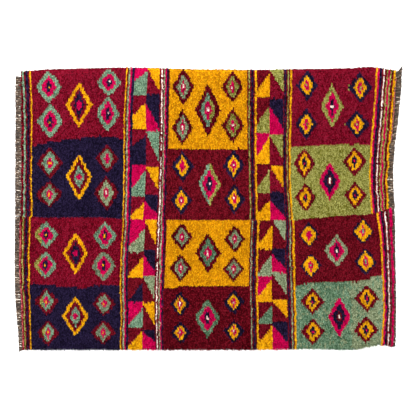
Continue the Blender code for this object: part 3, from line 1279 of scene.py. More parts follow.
class YarnTree:
    """The tree that spins two plies round every strand of edges. The strands carry shade and phase.

    A ply's orbit is how far it lies from the yarn's middle. Orbit and girth are shares of the thickness.
    """

    SIDES = 3
    PLIES = ("First ply", "Second ply")
    PLY_ORBIT = 0.25
    PLY_GIRTH = 0.30

    def __init__(self) -> None:
        """Build the tree."""
        sizes = dict.fromkeys(("Thickness", "Twist length", "Step"), "Float")
        plies = dict.fromkeys(self.PLIES, "Material")
        self.tree, given = new_tree("two_ply_yarn", {"Strands": "Geometry", **sizes, **plies})
        self.given = given.outputs
        tree, thickness = self.tree, self.given["Thickness"]
        strands = add_node(tree, "GeometryNodeMeshToCurve", {0: self.given["Strands"]})
        steps = {"Curve": strands, "Length": self.given["Step"]}
        self.even = add_node(tree, "GeometryNodeResampleCurve", steps, mode="LENGTH")
        along = add_node(tree, "GeometryNodeSplineParameter").outputs["Length"]
        phase = add_node(tree, "GeometryNodeInputNamedAttribute", {"Name": "phase"}, data_type="FLOAT")
        length = {0: along, 1: self.given["Twist length"]}
        turns = add_node(tree, "ShaderNodeMath", length, operation="DIVIDE")
        winding = {0: turns, 1: math.tau, 2: phase}
        self.spun = add_node(tree, "ShaderNodeMath", winding, operation="MULTIPLY_ADD")
        orbit = add_node(tree, "ShaderNodeMath", {0: thickness, 1: self.PLY_ORBIT}, operation="MULTIPLY")
        girth = add_node(tree, "ShaderNodeMath", {0: thickness, 1: self.PLY_GIRTH}, operation="MULTIPLY")
        ring = {"Resolution": self.SIDES, "Radius": girth}
        self.ring = add_node(tree, "GeometryNodeCurvePrimitiveCircle", ring)
        outward = {0: add_node(tree, "GeometryNodeInputNormal"), "Scale": orbit}
        self.outward = add_node(tree, "ShaderNodeVectorMath", outward, operation="SCALE")
        end_tree(tree, [self.ply(number, name) for number, name in enumerate(self.PLIES)])

    def ply(self, number: int, name: str) -> Node:
        """Lay one ply round the strands.

        Args:
            number: The ply's number, which sets where it starts round the yarn.
            name: The tree's input that gives its wool.

        Returns:
            The node that gives the ply in its wool.
        """
        tree = self.tree
        start = {0: self.spun, 1: math.tau * number / len(self.PLIES)}
        angle = add_node(tree, "ShaderNodeMath", start, operation="ADD")
        tangent = add_node(tree, "GeometryNodeInputTangent")
        offset = add_node(
            tree,
            "ShaderNodeVectorRotate",
            {"Vector": self.outward, "Axis": tangent, "Angle": angle},
            rotation_type="AXIS_ANGLE",
        )
        moved = add_node(tree, "GeometryNodeSetPosition", {"Geometry": self.even, "Offset": offset})
        path = {"Curve": moved, "Profile Curve": self.ring, "Fill Caps": True}
        tube = add_node(tree, "GeometryNodeCurveToMesh", path)
        soft = add_node(tree, "GeometryNodeSetShadeSmooth", {"Geometry": tube})
        return add_node(tree, "GeometryNodeSetMaterial", {"Geometry": soft, "Material": self.given[name]})


class Strand(NamedTuple):
    """A strand of yarn: its points in millimetres, the shade at each and the phase of its twist."""

    points: np.ndarray
    shades: np.ndarray
    phase: float = 0.0


@dataclass(frozen=True)
class Yarn:
    """A yarn by its thickness, its twist and the wool of its two plies."""

    thickness: float
    twist_length: float
    step: float
    first: Material
    second: Material

    def spin(self, name: str, strands: Sequence[Strand], spinner: YarnTree) -> Object:
        """Spin strands into one piece.

        Args:
            name: The piece's name.
            strands: The strands to spin.
            spinner: The two-ply yarn tree.

        Returns:
            The finished piece.
        """
        counts = [len(strand.points) for strand in strands]
        places = np.concatenate([strand.points for strand in strands]) * MM
        shades = np.concatenate([strand.shades for strand in strands])
        phases = np.repeat([strand.phase for strand in strands], counts)
        # Every point but a strand's last has an edge to the next
        first = np.delete(np.arange(len(places)), np.cumsum(counts) - 1)
        edges = np.stack([first, first + 1], axis=1)
        settings = {
            "Thickness": self.thickness * MM,
            "Twist length": self.twist_length * MM,
            "Step": self.step * MM,
            "First ply": self.first,
            "Second ply": self.second,
        }
        carrier = carrier_of(places, edges, {"shade": shades, "phase": phases})
        return made_plain(carrier, spinner.tree, name, settings, keep=("shade",))


class Solid:
    """A node's solid, read by rays, in millimetres."""

    FACING = 0.6
    CLEAR_OF_SIDES = 50.0
    FIRST_STATION = 0.5
    OVERHEAD = 100.0

    def __init__(self, node: str) -> None:
        """Take the solid of a node.

        Args:
            node: The node's name.
        """
        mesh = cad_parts[node].data
        self.tree = BVHTree.FromPolygons(
            [vert.co.copy() for vert in mesh.vertices], [tuple(face.vertices) for face in mesh.polygons]
        )
        self.low, self.high = (Vector(corner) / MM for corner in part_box(node))

    def side_line(self, axis: int, heading: int, level: float, step: float) -> tuple[np.ndarray, np.ndarray]:
        """One side of the solid, seen from above.

        Args:
            axis: The axis that the rays run along, 0 for X or 1 for Y.
            heading: The rays' direction, 1 or -1.
            level: The height of the rays.
            step: The space between rays.

        Returns:
            Where the rays were cast, along the other axis, and where they met the side.
        """
        other = 1 - axis
        nearest = self.low[axis] if heading > 0 else self.high[axis]
        origin = Vector((0.0, 0.0, level))
        origin[axis] = nearest - heading * self.CLEAR_OF_SIDES
        way = Vector((0.0, 0.0, 0.0))
        way[axis] = heading
        stations, found = [], []
        for station in np.arange(self.low[other] + self.FIRST_STATION, self.high[other], step):
            origin[other] = station
            place, normal, _, _ = self.tree.ray_cast(origin * MM, way)
            if place is not None and abs(normal[axis]) > self.FACING:
                stations.append(station)
                found.append(place[axis] / MM)
        return np.array(stations), np.array(found)

    def top_at(self, x: float, y: float, fallback: float) -> float:
        """The height of the solid's top at a place, or the fallback where there is none."""
        place, _, _, _ = self.tree.ray_cast(Vector((x, y, self.OVERHEAD)) * MM, Vector((0.0, 0.0, -1.0)))
        return place.z / MM if place is not None else fallback


def smoothed(values: np.ndarray, reach: int) -> np.ndarray:
    """A running mean over reach values to each side."""
    kernel = np.ones(2 * reach + 1) / (2 * reach + 1)
    return np.convolve(np.pad(values, reach, mode="edge"), kernel, mode="valid")


def falling(distance: np.ndarray, width: float) -> np.ndarray:
    """A soft fall from 1 at an edge to 0 at a distance from it."""
    return np.clip(1.0 - distance / width, 0.0, 1.0) ** 2


class Wave(NamedTuple):
    """A soft wave over the rug. A reach is how far along an axis the wave takes for one radian."""

    height: float
    y_reach: float = math.inf
    x_reach: float = math.inf
    phase: float = 0.0


def waves_at(x: np.ndarray, y: np.ndarray, waves: Sequence[Wave]) -> np.ndarray:
    """The sum of some waves at places."""
    return sum(wave.height * np.sin(y / wave.y_reach + x / wave.x_reach + wave.phase) for wave in waves)


# The unevenness of hand work: how the beaten wefts sway, how the stripes' edges sway beside them, and how the
# shade drifts from one batch of yarn to the next
WEFT_SWAY = (Wave(0.7, 11.0, 97.0), Wave(0.5, 6.1, -53.0), Wave(0.5, 29.0))
STRIPE_SWAY = (Wave(0.5, 9.3, 31.0), Wave(0.7, 23.0, -17.0))
SHADE_DRIFT = (Wave(0.03, x_reach=61.0, phase=0.8), Wave(0.03, 190.0, 23.0), Wave(0.02, 83.0))


class Plan:
    """The four sides of a loom width seen from above, as its solid has them."""

    RAY_LEVEL = 2.0
    RAY_STEP = 2.0
    LOCK_HALF = 8

    def __init__(self, solid: Solid, side: int, trim: tuple[Place, ...], end_trim: tuple[Place, ...]) -> None:
        """Read the four sides.

        Args:
            solid: The width's solid.
            side: 1 for the upper width and -1 for the lower.
            trim: How far the pile stands past the solid's rim, by x.
            end_trim: How far its right end stands past the solid's, by y.
        """
        self.seam = solid.side_line(1, side, self.RAY_LEVEL, self.RAY_STEP)
        rim_x, rim_y = solid.side_line(1, -side, self.RAY_LEVEL, self.RAY_STEP)
        self.rim = (rim_x, smoothed(rim_y, self.LOCK_HALF) + side * along_line(trim, rim_x))
        self.left = solid.side_line(0, 1, self.RAY_LEVEL, self.RAY_STEP)
        end_y, end_x = solid.side_line(0, -1, self.RAY_LEVEL, self.RAY_STEP)
        self.right = (end_y, end_x + along_line(end_trim, end_y))

    def y_at(self, x: np.ndarray, across: np.ndarray) -> np.ndarray:
        """The y at an x and a share of the way from the seam to the rim."""
        seam_y = np.interp(x, *self.seam)
        return seam_y + across * (np.interp(x, *self.rim) - seam_y)

    def end_x(self, line: tuple[np.ndarray, np.ndarray], across: np.ndarray) -> np.ndarray:
        """The x of a pile end at shares of the way from the seam to the rim.

        Args:
            line: The end's line, its y values and their x values.
            across: The shares.

        Returns:
            The x at each share.
        """
        x = np.full_like(across, np.mean(line[1]))
        for _ in range(3):
            x = np.interp(self.y_at(x, across), *line)
        return x


class KnotRow(NamedTuple):
    """A row of knots: its run and band, the shares of the run at its two edges, and its share of the band."""

    run: int
    band: Band
    start: float
    stop: float
    along: float


class Margins(NamedTuple):
    """How far places lie from the pile's left and right ends, from its free rim and from its seam."""

    left: np.ndarray
    right: np.ndarray
    rim: np.ndarray
    seam: np.ndarray


@dataclass
class Knots:
    """The knots of a loom width: arrays with a row for each knot row and a column for each knot in it.

    Wide, high and tall are a knot's share of the ground and its pile's height. The lean is how far its tips
    stand aside for each millimetre of height, and dense is 1 in the field and falls to 0 at an open edge.
    """

    x: np.ndarray
    y: np.ndarray
    dye: np.ndarray
    wide: np.ndarray
    high: np.ndarray
    tall: np.ndarray
    lean_x: np.ndarray
    lean_y: np.ndarray
    dense: np.ndarray
    shade: np.ndarray


@dataclass
class LoomWidth:
    """One loom width: its woven ground, its knots and its tufts.

    The knots stand in rows along Y, one for each weft line of the chart, and knots_across of them fill a row
    from the seam to the free rim. The trim says how far the pile stands past the solid's rim at each x. Side
    is 1 for the upper width and -1 for the lower.
    """

    name: str
    node: str
    side: int
    chart: tuple[Run, ...]
    knots_across: int
    seed: int
    rim_trim: tuple[Place, ...]
    end_trim: tuple[Place, ...] = (Place(0, 0),)
    # How the tufts lean: out over the rim and the ends, off the seam and along the nap
    rim_shift: float = 3.2
    rim_lean: float = 0.75
    rim_lean_width: float = 24.0
    end_lean: float = 0.25
    end_lean_width: float = 18.0
    seam_lean: float = 0.22
    seam_lean_width: float = 14.0
    nap: Place = Place(0.05, -0.36)
    # Where a knot reads the chart: at its tips, and a little off, as in hand work
    nap_reach: float = 15.0
    chart_slip: Place = Place(1.2, 1.6)
    # How the shade varies: by a painted shadow along Y beside the nap's parting, the panel's tone, the lot of
    # yarn, the knot and the lock
    parting_shadow_x: float = 57.0
    parting_shadow_half_width: float = 8.0
    parting_shadow_depth: float = 0.16
    tone_depth: float = 0.4
    lot_spread: float = 0.02
    uneven: float = 0.19
    lock_spread: float = 1.00
    # How evenly the pile is cut, and its top where the solid gives none
    height_spread: float = 0.09
    ivory_height: float = 0.96
    usual_top: float = 12.0
    # How the stripes' tufts stray and their edges sway, and how near the pile's ends the sway stops
    stripe_stray: float = 0.13
    stripe_sway: float = 1.1
    edge_sway: float = 2.4
    edge_sway_width: float = 70.0
    still_end: float = 8.0
    still_weft: float = 15.0
    # The line along Y where the nap parts
    parting_x: float = 61.0
    parting_lean: float = 0.22
    parting_width: float = 16.0
    # How far up the pile its roots and the feet of its tufts stand
    edge_roots: float = 0.28
    field_roots: float = 0.44
    root_spread: float = 0.12
    field_foot: float = 0.30
    lowest_foot: float = 0.5
    lean_stretch: float = 0.25
    # How far the roots and the ground stay inside the width's outline
    rim_inset: float = 2.5
    seam_inset: float = 0.3
    ground_inset: float = 1.0

    def __post_init__(self) -> None:
        """Read the width's solid and list its knot rows."""
        self.solid = Solid(self.node)
        self.plan = Plan(self.solid, self.side, self.rim_trim, self.end_trim)
        self.pick = np.random.default_rng(self.seed)
        self.rows = self.list_rows()

    def list_rows(self) -> list[KnotRow]:
        """List every knot row of the chart.

        Returns:
            The rows, from the left to the right.
        """
        rows = []
        for index, run in enumerate(self.chart):
            whole = sum(band.wide for band in run.bands)
            edge = 0.0
            for band in run.bands:
                step = band.wide / whole / band.rows
                for row in range(band.rows):
                    rows.append(KnotRow(index, band, edge, edge + step, (row + 0.5) / band.rows))
                    edge += step
        return rows

    def line_x(self, index: int, across: np.ndarray) -> np.ndarray:
        """The x of the weft line that starts a run, or of a pile end.

        Args:
            index: The run's number, or the number of runs for the right end.
            across: Shares of the way from the seam to the rim.

        Returns:
            The x at each share.
        """
        if index == 0:
            return self.plan.end_x(self.plan.left, across)
        if index == len(self.chart):
            return self.plan.end_x(self.plan.right, across)
        return self.chart[index].start.x_at(across)

    def row_x(self, index: int, share: float, across: np.ndarray) -> np.ndarray:
        """The x of a line in a run, with the sway of a hand-beaten weft.

        Args:
            index: The run's number.
            share: The share of the way through it.
            across: Shares of the way from the seam to the rim.

        Returns:
            The x at each share across.
        """
        start = self.line_x(index, across)
        x = start + share * (self.line_x(index + 1, across) - start)
        sway = waves_at(x, self.plan.y_at(x, across), WEFT_SWAY)
        inside = np.minimum(x - self.line_x(0, across), self.line_x(len(self.chart), across) - x)
        return x + sway * np.clip(inside / self.still_weft, 0, 1)

    def knots(self) -> Knots:
        """Place every knot and give it its dye, cell, lean and shade.

        Returns:
            The knots of this width.
        """
        across = (np.arange(self.knots_across) + 0.5) / self.knots_across
        low = np.array([self.row_x(row.run, row.start, across) for row in self.rows])
        high = np.array([self.row_x(row.run, row.stop, across) for row in self.rows])
        x = (low + high) / 2
        y = self.plan.y_at(x, across)
        span = np.abs(np.interp(x, *self.plan.rim) - np.interp(x, *self.plan.seam))
        y = y + self.side * self.rim_shift * falling((1.0 - across) * span, 2 * self.rim_lean_width)
        dye, tone = self.dyes_at(x, y)
        top = np.vectorize(self.solid.top_at, otypes=[float])(x, y, self.usual_top)
        left = x - self.plan.end_x(self.plan.left, across)
        right = self.plan.end_x(self.plan.right, across) - x
        margins = Margins(left, right, (1.0 - across) * span, across * span)
        striped = np.array([isinstance(row.band, Stripe) for row in self.rows])[:, None]
        lean_x, lean_y = self.leans_at(x, margins, striped)
        end = np.minimum(left, right)
        sway = striped * (self.stripe_sway + self.edge_sway * falling(end, self.edge_sway_width))
        x = x + sway * waves_at(x, y, STRIPE_SWAY) * np.clip(end / self.still_end, 0, 1)
        shade = self.shades_at(x, y, tone, striped)
        cut = self.pick.normal(1.0, self.height_spread, x.shape)
        return Knots(
            x=x,
            y=y,
            dye=dye,
            wide=high - low,
            high=span / self.knots_across,
            tall=(top - GROUND_TOP) * cut * np.where(dye == IVORY, self.ivory_height, 1.0),
            lean_x=lean_x,
            lean_y=lean_y,
            dense=1.0 - falling(np.minimum(end, margins.rim), self.rim_lean_width),
            shade=shade,
        )

    def dyes_at(self, x: np.ndarray, y: np.ndarray) -> tuple[np.ndarray, np.ndarray]:
        """Read every knot's dye and tone from the chart, at the place where its tips show.

        Args:
            x: The knots' x.
            y: The knots' y.

        Returns:
            The dyes and the tones.
        """
        slip_x = self.pick.uniform(-1, 1, x.shape) * self.chart_slip.x
        slip_y = self.pick.uniform(-1, 1, x.shape) * self.chart_slip.y
        chance = self.pick.random(x.shape)
        tip_x = x + self.nap.x * self.nap_reach + slip_x
        tip_y = y + self.nap.y * self.nap_reach + slip_y
        dye, tone = np.empty(x.shape, object), np.zeros(x.shape)
        for number, row in enumerate(self.rows):
            for knot in range(self.knots_across):
                spot = (number, knot)
                dye[spot], tone[spot] = row.band.knot_at(tip_x[spot], tip_y[spot], row.along, chance[spot])
        return dye, tone

    def leans_at(self, x: np.ndarray, margins: Margins, striped: np.ndarray) -> tuple[np.ndarray, np.ndarray]:
        """Lean the tufts with the nap, out over the open edges, off the seam and apart at the parting.

        Args:
            x: The knots' x.
            margins: How far they lie from the four sides.
            striped: Whether each row belongs to a stripe, whose tufts stray more.

        Returns:
            The leans along x and along y.
        """
        parting = np.sign(x - self.parting_x) * falling(np.abs(x - self.parting_x), self.parting_width)
        ends = falling(margins.right, self.end_lean_width) - falling(margins.left, self.end_lean_width)
        stray = striped * self.pick.normal(0, self.stripe_stray, x.shape)
        lean_x = self.nap.x + self.parting_lean * parting + self.end_lean * ends + stray
        rim = self.rim_lean * falling(margins.rim, self.rim_lean_width)
        seam = self.seam_lean * falling(margins.seam, self.seam_lean_width)
        return lean_x, self.nap.y + self.side * (rim - seam)

    def shades_at(self, x: np.ndarray, y: np.ndarray, tone: np.ndarray, striped: np.ndarray) -> np.ndarray:
        """Shade the knots: by panel, by lot of yarn, in slow streaks, by painted shade at the parting, each
        by itself.

        Args:
            x: The knots' x.
            y: The knots' y.
            tone: The chart's tones.
            striped: Whether each row belongs to a stripe, whose yarn is more uneven.

        Returns:
            The shades, from 0 for the darkest wool to 1 for the lightest.
        """
        lot = self.pick.normal(0, self.lot_spread, (len(x), 1))
        # Painted shade: a darker band along Y just left of the line where the nap parts and opens
        parting_shadow = np.exp(-(((x - self.parting_shadow_x) / self.parting_shadow_half_width) ** 2))
        streak = waves_at(x, y, SHADE_DRIFT) - self.parting_shadow_depth * parting_shadow
        uneven = self.pick.normal(0, self.uneven, x.shape) * (1.0 + striped)
        return 0.5 + self.tone_depth * tone + lot + streak + uneven

    def build_tufts(self, knots: Knots, grower: TuftTree, wool: dict[Dye, Material]) -> list[Object]:
        """Grow the tufts, one piece for each dye.

        Args:
            knots: The knots of this width.
            grower: The tuft tree.
            wool: The material of each dye.

        Returns:
            The pile's pieces.
        """
        pieces = []
        for number, dye in enumerate(Dye):
            chosen = knots.dye == dye
            if not chosen.any():
                continue
            lean_x, lean_y, tall = knots.lean_x[chosen], knots.lean_y[chosen], knots.tall[chosen]
            foot = self.field_foot * knots.dense[chosen] * tall
            x, y = knots.x[chosen] + lean_x * foot, knots.y[chosen] + lean_y * foot
            places = np.stack([x, y, GROUND_TOP + self.lowest_foot + foot], axis=1)
            length = (tall - foot) * (1.0 + self.lean_stretch * np.hypot(lean_x, lean_y))
            cell = np.stack([knots.wide[chosen], knots.high[chosen], length], axis=1) * MM
            lean = np.stack([lean_x, lean_y, np.ones_like(lean_x)], axis=1)
            carried = {"cell": cell, "lean": lean, "shade": knots.shade[chosen]}
            settings = {
                "Girth": 0.34,
                "Spread": 0.78,
                "Splay": 0.14,
                "Wander": 0.15,
                "Shortest": 0.85,
                "Longest": 1.15,
                "Shade spread": self.lock_spread,
                "Seed": self.seed + number,
                "Wool": wool[dye],
            }
            name = f"pile_{self.name}_{dye.value}"
            carrier = carrier_of(places * MM, None, carried)
            pieces.append(made_plain(carrier, grower.tree, name, settings, keep=("shade", "rise")))
            log.info("%s: %d knots", name, chosen.sum())
        return pieces

    def build_roots(self, knots: Knots, wool: dict[Dye, Material]) -> Object:
        """Build the dense lower part of the pile, one face for each knot, in the knots' own wool.

        Args:
            knots: The knots of this width.
            wool: The material of each dye.

        Returns:
            A closed slab between the ground and the open tips of the tufts.
        """
        across = np.arange(self.knots_across + 1) / self.knots_across
        edges = [(row.run, row.start) for row in self.rows] + [(self.rows[-1].run, 1.0)]
        x = np.array([self.row_x(run, share, across) for run, share in edges])
        y = self.plan.y_at(x, across)
        x[0] += self.rim_inset
        x[-1] -= self.rim_inset
        y[:, -1] -= self.side * self.rim_inset
        y[:, 0] += self.side * self.seam_inset
        tall = np.pad(knots.tall, 1, mode="edge")
        height = (tall[:-1, :-1] + tall[1:, :-1] + tall[:-1, 1:] + tall[1:, 1:]) / 4
        dense = np.pad(knots.dense, ((0, 1), (0, 1)), mode="edge")
        share = self.edge_roots + (self.field_roots - self.edge_roots) * dense
        height *= share * (1.0 + self.pick.uniform(-self.root_spread, self.root_spread, x.shape))
        top = np.stack([x, y, GROUND_TOP + height], axis=-1).reshape(-1, 3)
        cells, border = grid_cells(np.arange(len(top)).reshape(x.shape))
        foot = top[border].copy()
        foot[:, 2] = GROUND_TOP
        base = len(top) + np.arange(len(border))
        walls = np.stack([border, base, np.roll(base, -1), np.roll(border, -1)], axis=1)
        faces = [*cells.tolist(), *walls.tolist(), base[::-1].tolist()]
        if self.side < 0:
            faces = [face[::-1] for face in faces]
        mesh = bpy.data.meshes.new("roots")
        mesh.from_pydata((np.concatenate([top, foot]) * MM).tolist(), [], faces)
        rises = np.concatenate([share.ravel(), np.full(len(border), self.edge_roots)])
        self.dress_roots(mesh, knots, rises, wool)
        return add_piece(f"pile_roots_{self.name}", mesh)

    def dress_roots(self, mesh: Mesh, knots: Knots, rises: np.ndarray, wool: dict[Dye, Material]) -> None:
        """Give the roots the knots' wool and the attributes that it reads.

        Args:
            mesh: The roots, whose faces are the knots, then the walls, then the base.
            knots: The knots of this width.
            rises: How far up the pile each point stands.
            wool: The material of each dye.
        """
        dyes = list(Dye)
        for dye in dyes:
            mesh.materials.append(wool[dye])
        numbers = np.vectorize(dyes.index)(knots.dye)
        wall_cells = np.concatenate([numbers[:, 0], numbers[-1, :], numbers[::-1, -1], numbers[0, ::-1]])
        slots = np.concatenate([numbers.ravel(), wall_cells, [dyes.index(BROWN)]])
        mesh.polygons.foreach_set("material_index", slots.astype(np.int32))
        shades = np.concatenate([knots.shade.ravel(), np.full(len(wall_cells) + 1, 0.5)])
        # rise also sets the wool's painted shade: the lower a root stands, the darker it is painted
        for name, domain, values in (("shade", "FACE", shades), ("rise", "POINT", rises)):
            mesh.attributes.new(name, "FLOAT", domain).data.foreach_set("value", values.astype(np.float32))
        mesh.update()

    def build_ground(self, material: Material, along_cells: int = 90, across_cells: int = 20) -> Object:
        """Build the woven ground as a closed sheet on the floor.

        Args:
            material: The woven ground's material.
            along_cells: Cells along the rug.
            across_cells: Cells across it.

        Returns:
            The ground's piece.
        """
        along = np.arange(along_cells + 1)[:, None] / along_cells
        across = np.arange(across_cells + 1)[None, :] / across_cells
        left, right = (self.plan.end_x(line, across[0]) for line in (self.plan.left, self.plan.right))
        x = left + along * (right - left)
        inset = self.side * self.ground_inset * (across == 1.0)
        y = self.plan.y_at(x, np.broadcast_to(across, x.shape)) - inset
        top = np.full_like(x, GROUND_TOP)
        return closed_slab(f"woven_ground_{self.name}", x, y, top, GROUND_BOTTOM, material)


@dataclass
class WarpFringe:
    """The warp ends at one end of a loom width: twisted goat hair, matted, with a few white strands."""

    node: str
    width: LoomWidth
    end: Side
    outer_y: float
    # How far the tips stand past the solid's strands, and how those at the corners flare along Y
    reach_past: tuple[Place, ...] = (Place(0, 4.5),)
    flare_low: float = 0.0
    flare_high: float = 0.0
    flare_share: float = 0.08
    flare_power: float = 1.5
    seam_gap: float = 0.5
    # How the strands lie, from under the pile outwards
    inside: float = 7.0
    pitch: float = 3.6
    bends: int = 7
    thickness: float = 3.4
    middle_share: float = 0.55
    lowest: float = 1.0
    layers: float = 1.6
    crowding: float = 1.0
    ragged_tip: float = 2.2
    wander: float = 1.2
    wander_share: float = 0.6
    # Their shades: brown hair in clumps, with white here and there
    white_share: float = 0.10
    white_from: float = 0.6
    body_shade: float = 0.30
    clump_spread: float = 0.16
    strand_spread: float = 0.18
    bend_spread: float = 0.30
    # The matted hair under them
    mat_short: float = 3.0
    mat_ragged: float = 1.0
    mat_height: float = 1.8
    mat_uneven: float = 0.2
    mat_pitch: float = 2.5
    mat_rows: int = 5
    mat_lift: float = 0.25
    seed: int = 5

    def __post_init__(self) -> None:
        """Read where the solid's strands end and where the pile ends."""
        solid = Solid(self.node)
        self.stations, tips = solid.side_line(0, -self.end.value, 1.0, 1.0)
        self.reach = smoothed(np.array([self.furthest(tips, place) for place in range(len(tips))]), 6)
        self.pile_end = self.width.plan.left if self.end is Side.LEFT else self.width.plan.right
        seam_x = self.pile_end[1][0 if self.width.side > 0 else -1]
        seam_y = float(np.interp(seam_x, *self.width.plan.seam)) + self.seam_gap * self.width.side
        self.low, self.high = sorted((seam_y, self.outer_y))
        self.pick = np.random.default_rng(self.seed)

    def furthest(self, tips: np.ndarray, place: int, reach: int = 10) -> float:
        """How far the solid's strands go near a station, past the gaps between them."""
        near = tips[max(place - reach, 0) : place + reach + 1]
        return near.max() if self.end is Side.RIGHT else near.min()

    def lift_at(self, share: np.ndarray) -> np.ndarray:
        """How far the tips flare along Y.

        Args:
            share: The share of the way up.

        Returns:
            The flare at each share.
        """
        top = np.clip((share - 1.0 + self.flare_share) / self.flare_share, 0, 1) ** self.flare_power
        foot = np.clip((self.flare_share - share) / self.flare_share, 0, 1) ** self.flare_power
        return self.flare_high * top - self.flare_low * foot

    def root_x(self, y: np.ndarray) -> np.ndarray:
        """The x at which the strands start, under the pile, at a y."""
        return np.interp(y, *self.pile_end) - self.end.value * self.inside

    def tip_x(self, y: np.ndarray) -> np.ndarray:
        """The x that the strands' tips reach at a y."""
        past = along_line(self.reach_past, y)
        return np.interp(y, self.stations, self.reach) + self.end.value * past

    def strands(self) -> list[Strand]:
        """Lay the strands out from under the pile to where the solid's strands end.

        Returns:
            The strands, which lie on the matted hair in loose layers.
        """
        count = round((self.high - self.low) / self.pitch)
        clump = 0.0
        strands = []
        for number in range(count):
            points = self.bent((number + 0.5) / count)
            clump = self.pick.normal(0, self.clump_spread) if number % 2 == 0 else clump
            strands.append(Strand(points, self.shades(clump), self.pick.uniform(0, math.tau)))
        return strands

    def bent(self, share: float) -> np.ndarray:
        """Lay one strand, which wanders and flares.

        Args:
            share: How far up the fringe the strand starts.

        Returns:
            A row of x, y and z for each of its bends.
        """
        pick = self.pick
        y = self.low + share * (self.high - self.low) + pick.normal(0, self.crowding)
        root_x = self.root_x(y)
        ragged = abs(pick.normal(0, self.ragged_tip))
        tip_x = self.tip_x(y + self.lift_at(share)) - self.end.value * ragged
        level = self.thickness * self.middle_share + self.lowest + pick.uniform(0, self.layers)
        drift = pick.normal(0, self.wander, self.bends).cumsum() * self.wander_share
        along = np.linspace(0, 1, self.bends)
        x = root_x + (tip_x - root_x) * along
        y = y + drift + self.lift_at(share) * along**self.flare_power
        return np.stack([x, y, np.full(self.bends, level)], axis=1)

    def shades(self, clump: float) -> np.ndarray:
        """Shade a strand's bends: mostly brown hair, with white here and there.

        Args:
            clump: How much lighter the strand's clump is.

        Returns:
            A shade for each bend.
        """
        pick = self.pick
        own = pick.normal(0, self.strand_spread)
        brown = self.body_shade + clump + own + pick.normal(0, self.bend_spread, self.bends)
        is_white = pick.random(self.bends) < self.white_share
        return np.clip(np.where(is_white, pick.uniform(self.white_from, 1.0), brown), 0.0, 1.0)

    def build_mat(self, material: Material) -> Object:
        """Build the layer of matted hair that fills the gaps between the strands.

        Args:
            material: The matted hair.

        Returns:
            The mat's piece.
        """
        y = np.arange(self.low, self.high, self.mat_pitch)
        flare = self.lift_at((y - self.low) / (self.high - self.low))
        root = self.root_x(y)
        ragged = self.mat_short + self.pick.normal(0, self.mat_ragged, len(y))
        tip = self.tip_x(y + flare) - self.end.value * ragged
        # The rows run from the left to the right, so at the left end they start at the tips
        at_left = self.end is Side.LEFT
        along = np.linspace(0, 1, self.mat_rows)[:, None]
        x = tip + (root - tip) * along if at_left else root + (tip - root) * along
        lift = (1.0 - along if at_left else along) ** self.flare_power * flare
        top = self.mat_height * (1.0 + self.pick.uniform(-self.mat_uneven, self.mat_uneven, x.shape))
        # The matting starts inside the ground, so its underside stays a little above the ground's
        bottom = GROUND_BOTTOM + self.mat_lift
        return closed_slab(f"{self.node}_matting", x, y + lift, top, bottom, material)


@dataclass
class EndTwining:
    """Twined yarn that locks the last weft at a pile end, from one place to another along Y."""

    name: str
    width: LoomWidth
    end: Side
    low_y: float
    high_y: float
    inset: float
    level: float
    step: float = 12.0
    sway: Wave = Wave(0.8, 37.0)

    def strands(self) -> list[Strand]:
        """The twining's line along the pile end.

        Returns:
            The one strand of it.
        """
        pile_end = self.width.plan.left if self.end is Side.LEFT else self.width.plan.right
        y = np.arange(self.low_y, self.high_y, self.step)
        x = np.interp(y, *pile_end) - self.end.value * self.inset
        x = x + waves_at(x, y, (self.sway,))
        return [Strand(np.stack([x, y, np.full_like(y, self.level)], axis=1), np.full_like(y, 0.5))]


@dataclass
class SeamSewing:
    """The overcast thread that joins the two loom widths, in a stitch that goes round their grounds."""

    upper: LoomWidth
    pitch: float = 13.0
    half_wide: float = 4.0
    level: float = 3.45
    half_high: float = 2.42
    end_inset: float = 4.0
    points_per_turn: int = 10

    def strands(self) -> list[Strand]:
        """One thread that goes round the seam from end to end.

        Returns:
            A flattened helix that stays between the floor and the tufts.
        """
        seam_x, seam_y = self.upper.plan.seam
        turns = int((seam_x[-1] - seam_x[0]) / self.pitch)
        turn = np.arange(turns * self.points_per_turn) / self.points_per_turn
        x = seam_x[0] + self.end_inset + turn * self.pitch
        y = np.interp(x, seam_x, seam_y) + self.half_wide * np.cos(math.tau * turn)
        z = self.level + self.half_high * np.sin(math.tau * turn)
        return [Strand(np.stack([x, y, z], axis=1), np.full_like(x, 0.5))]


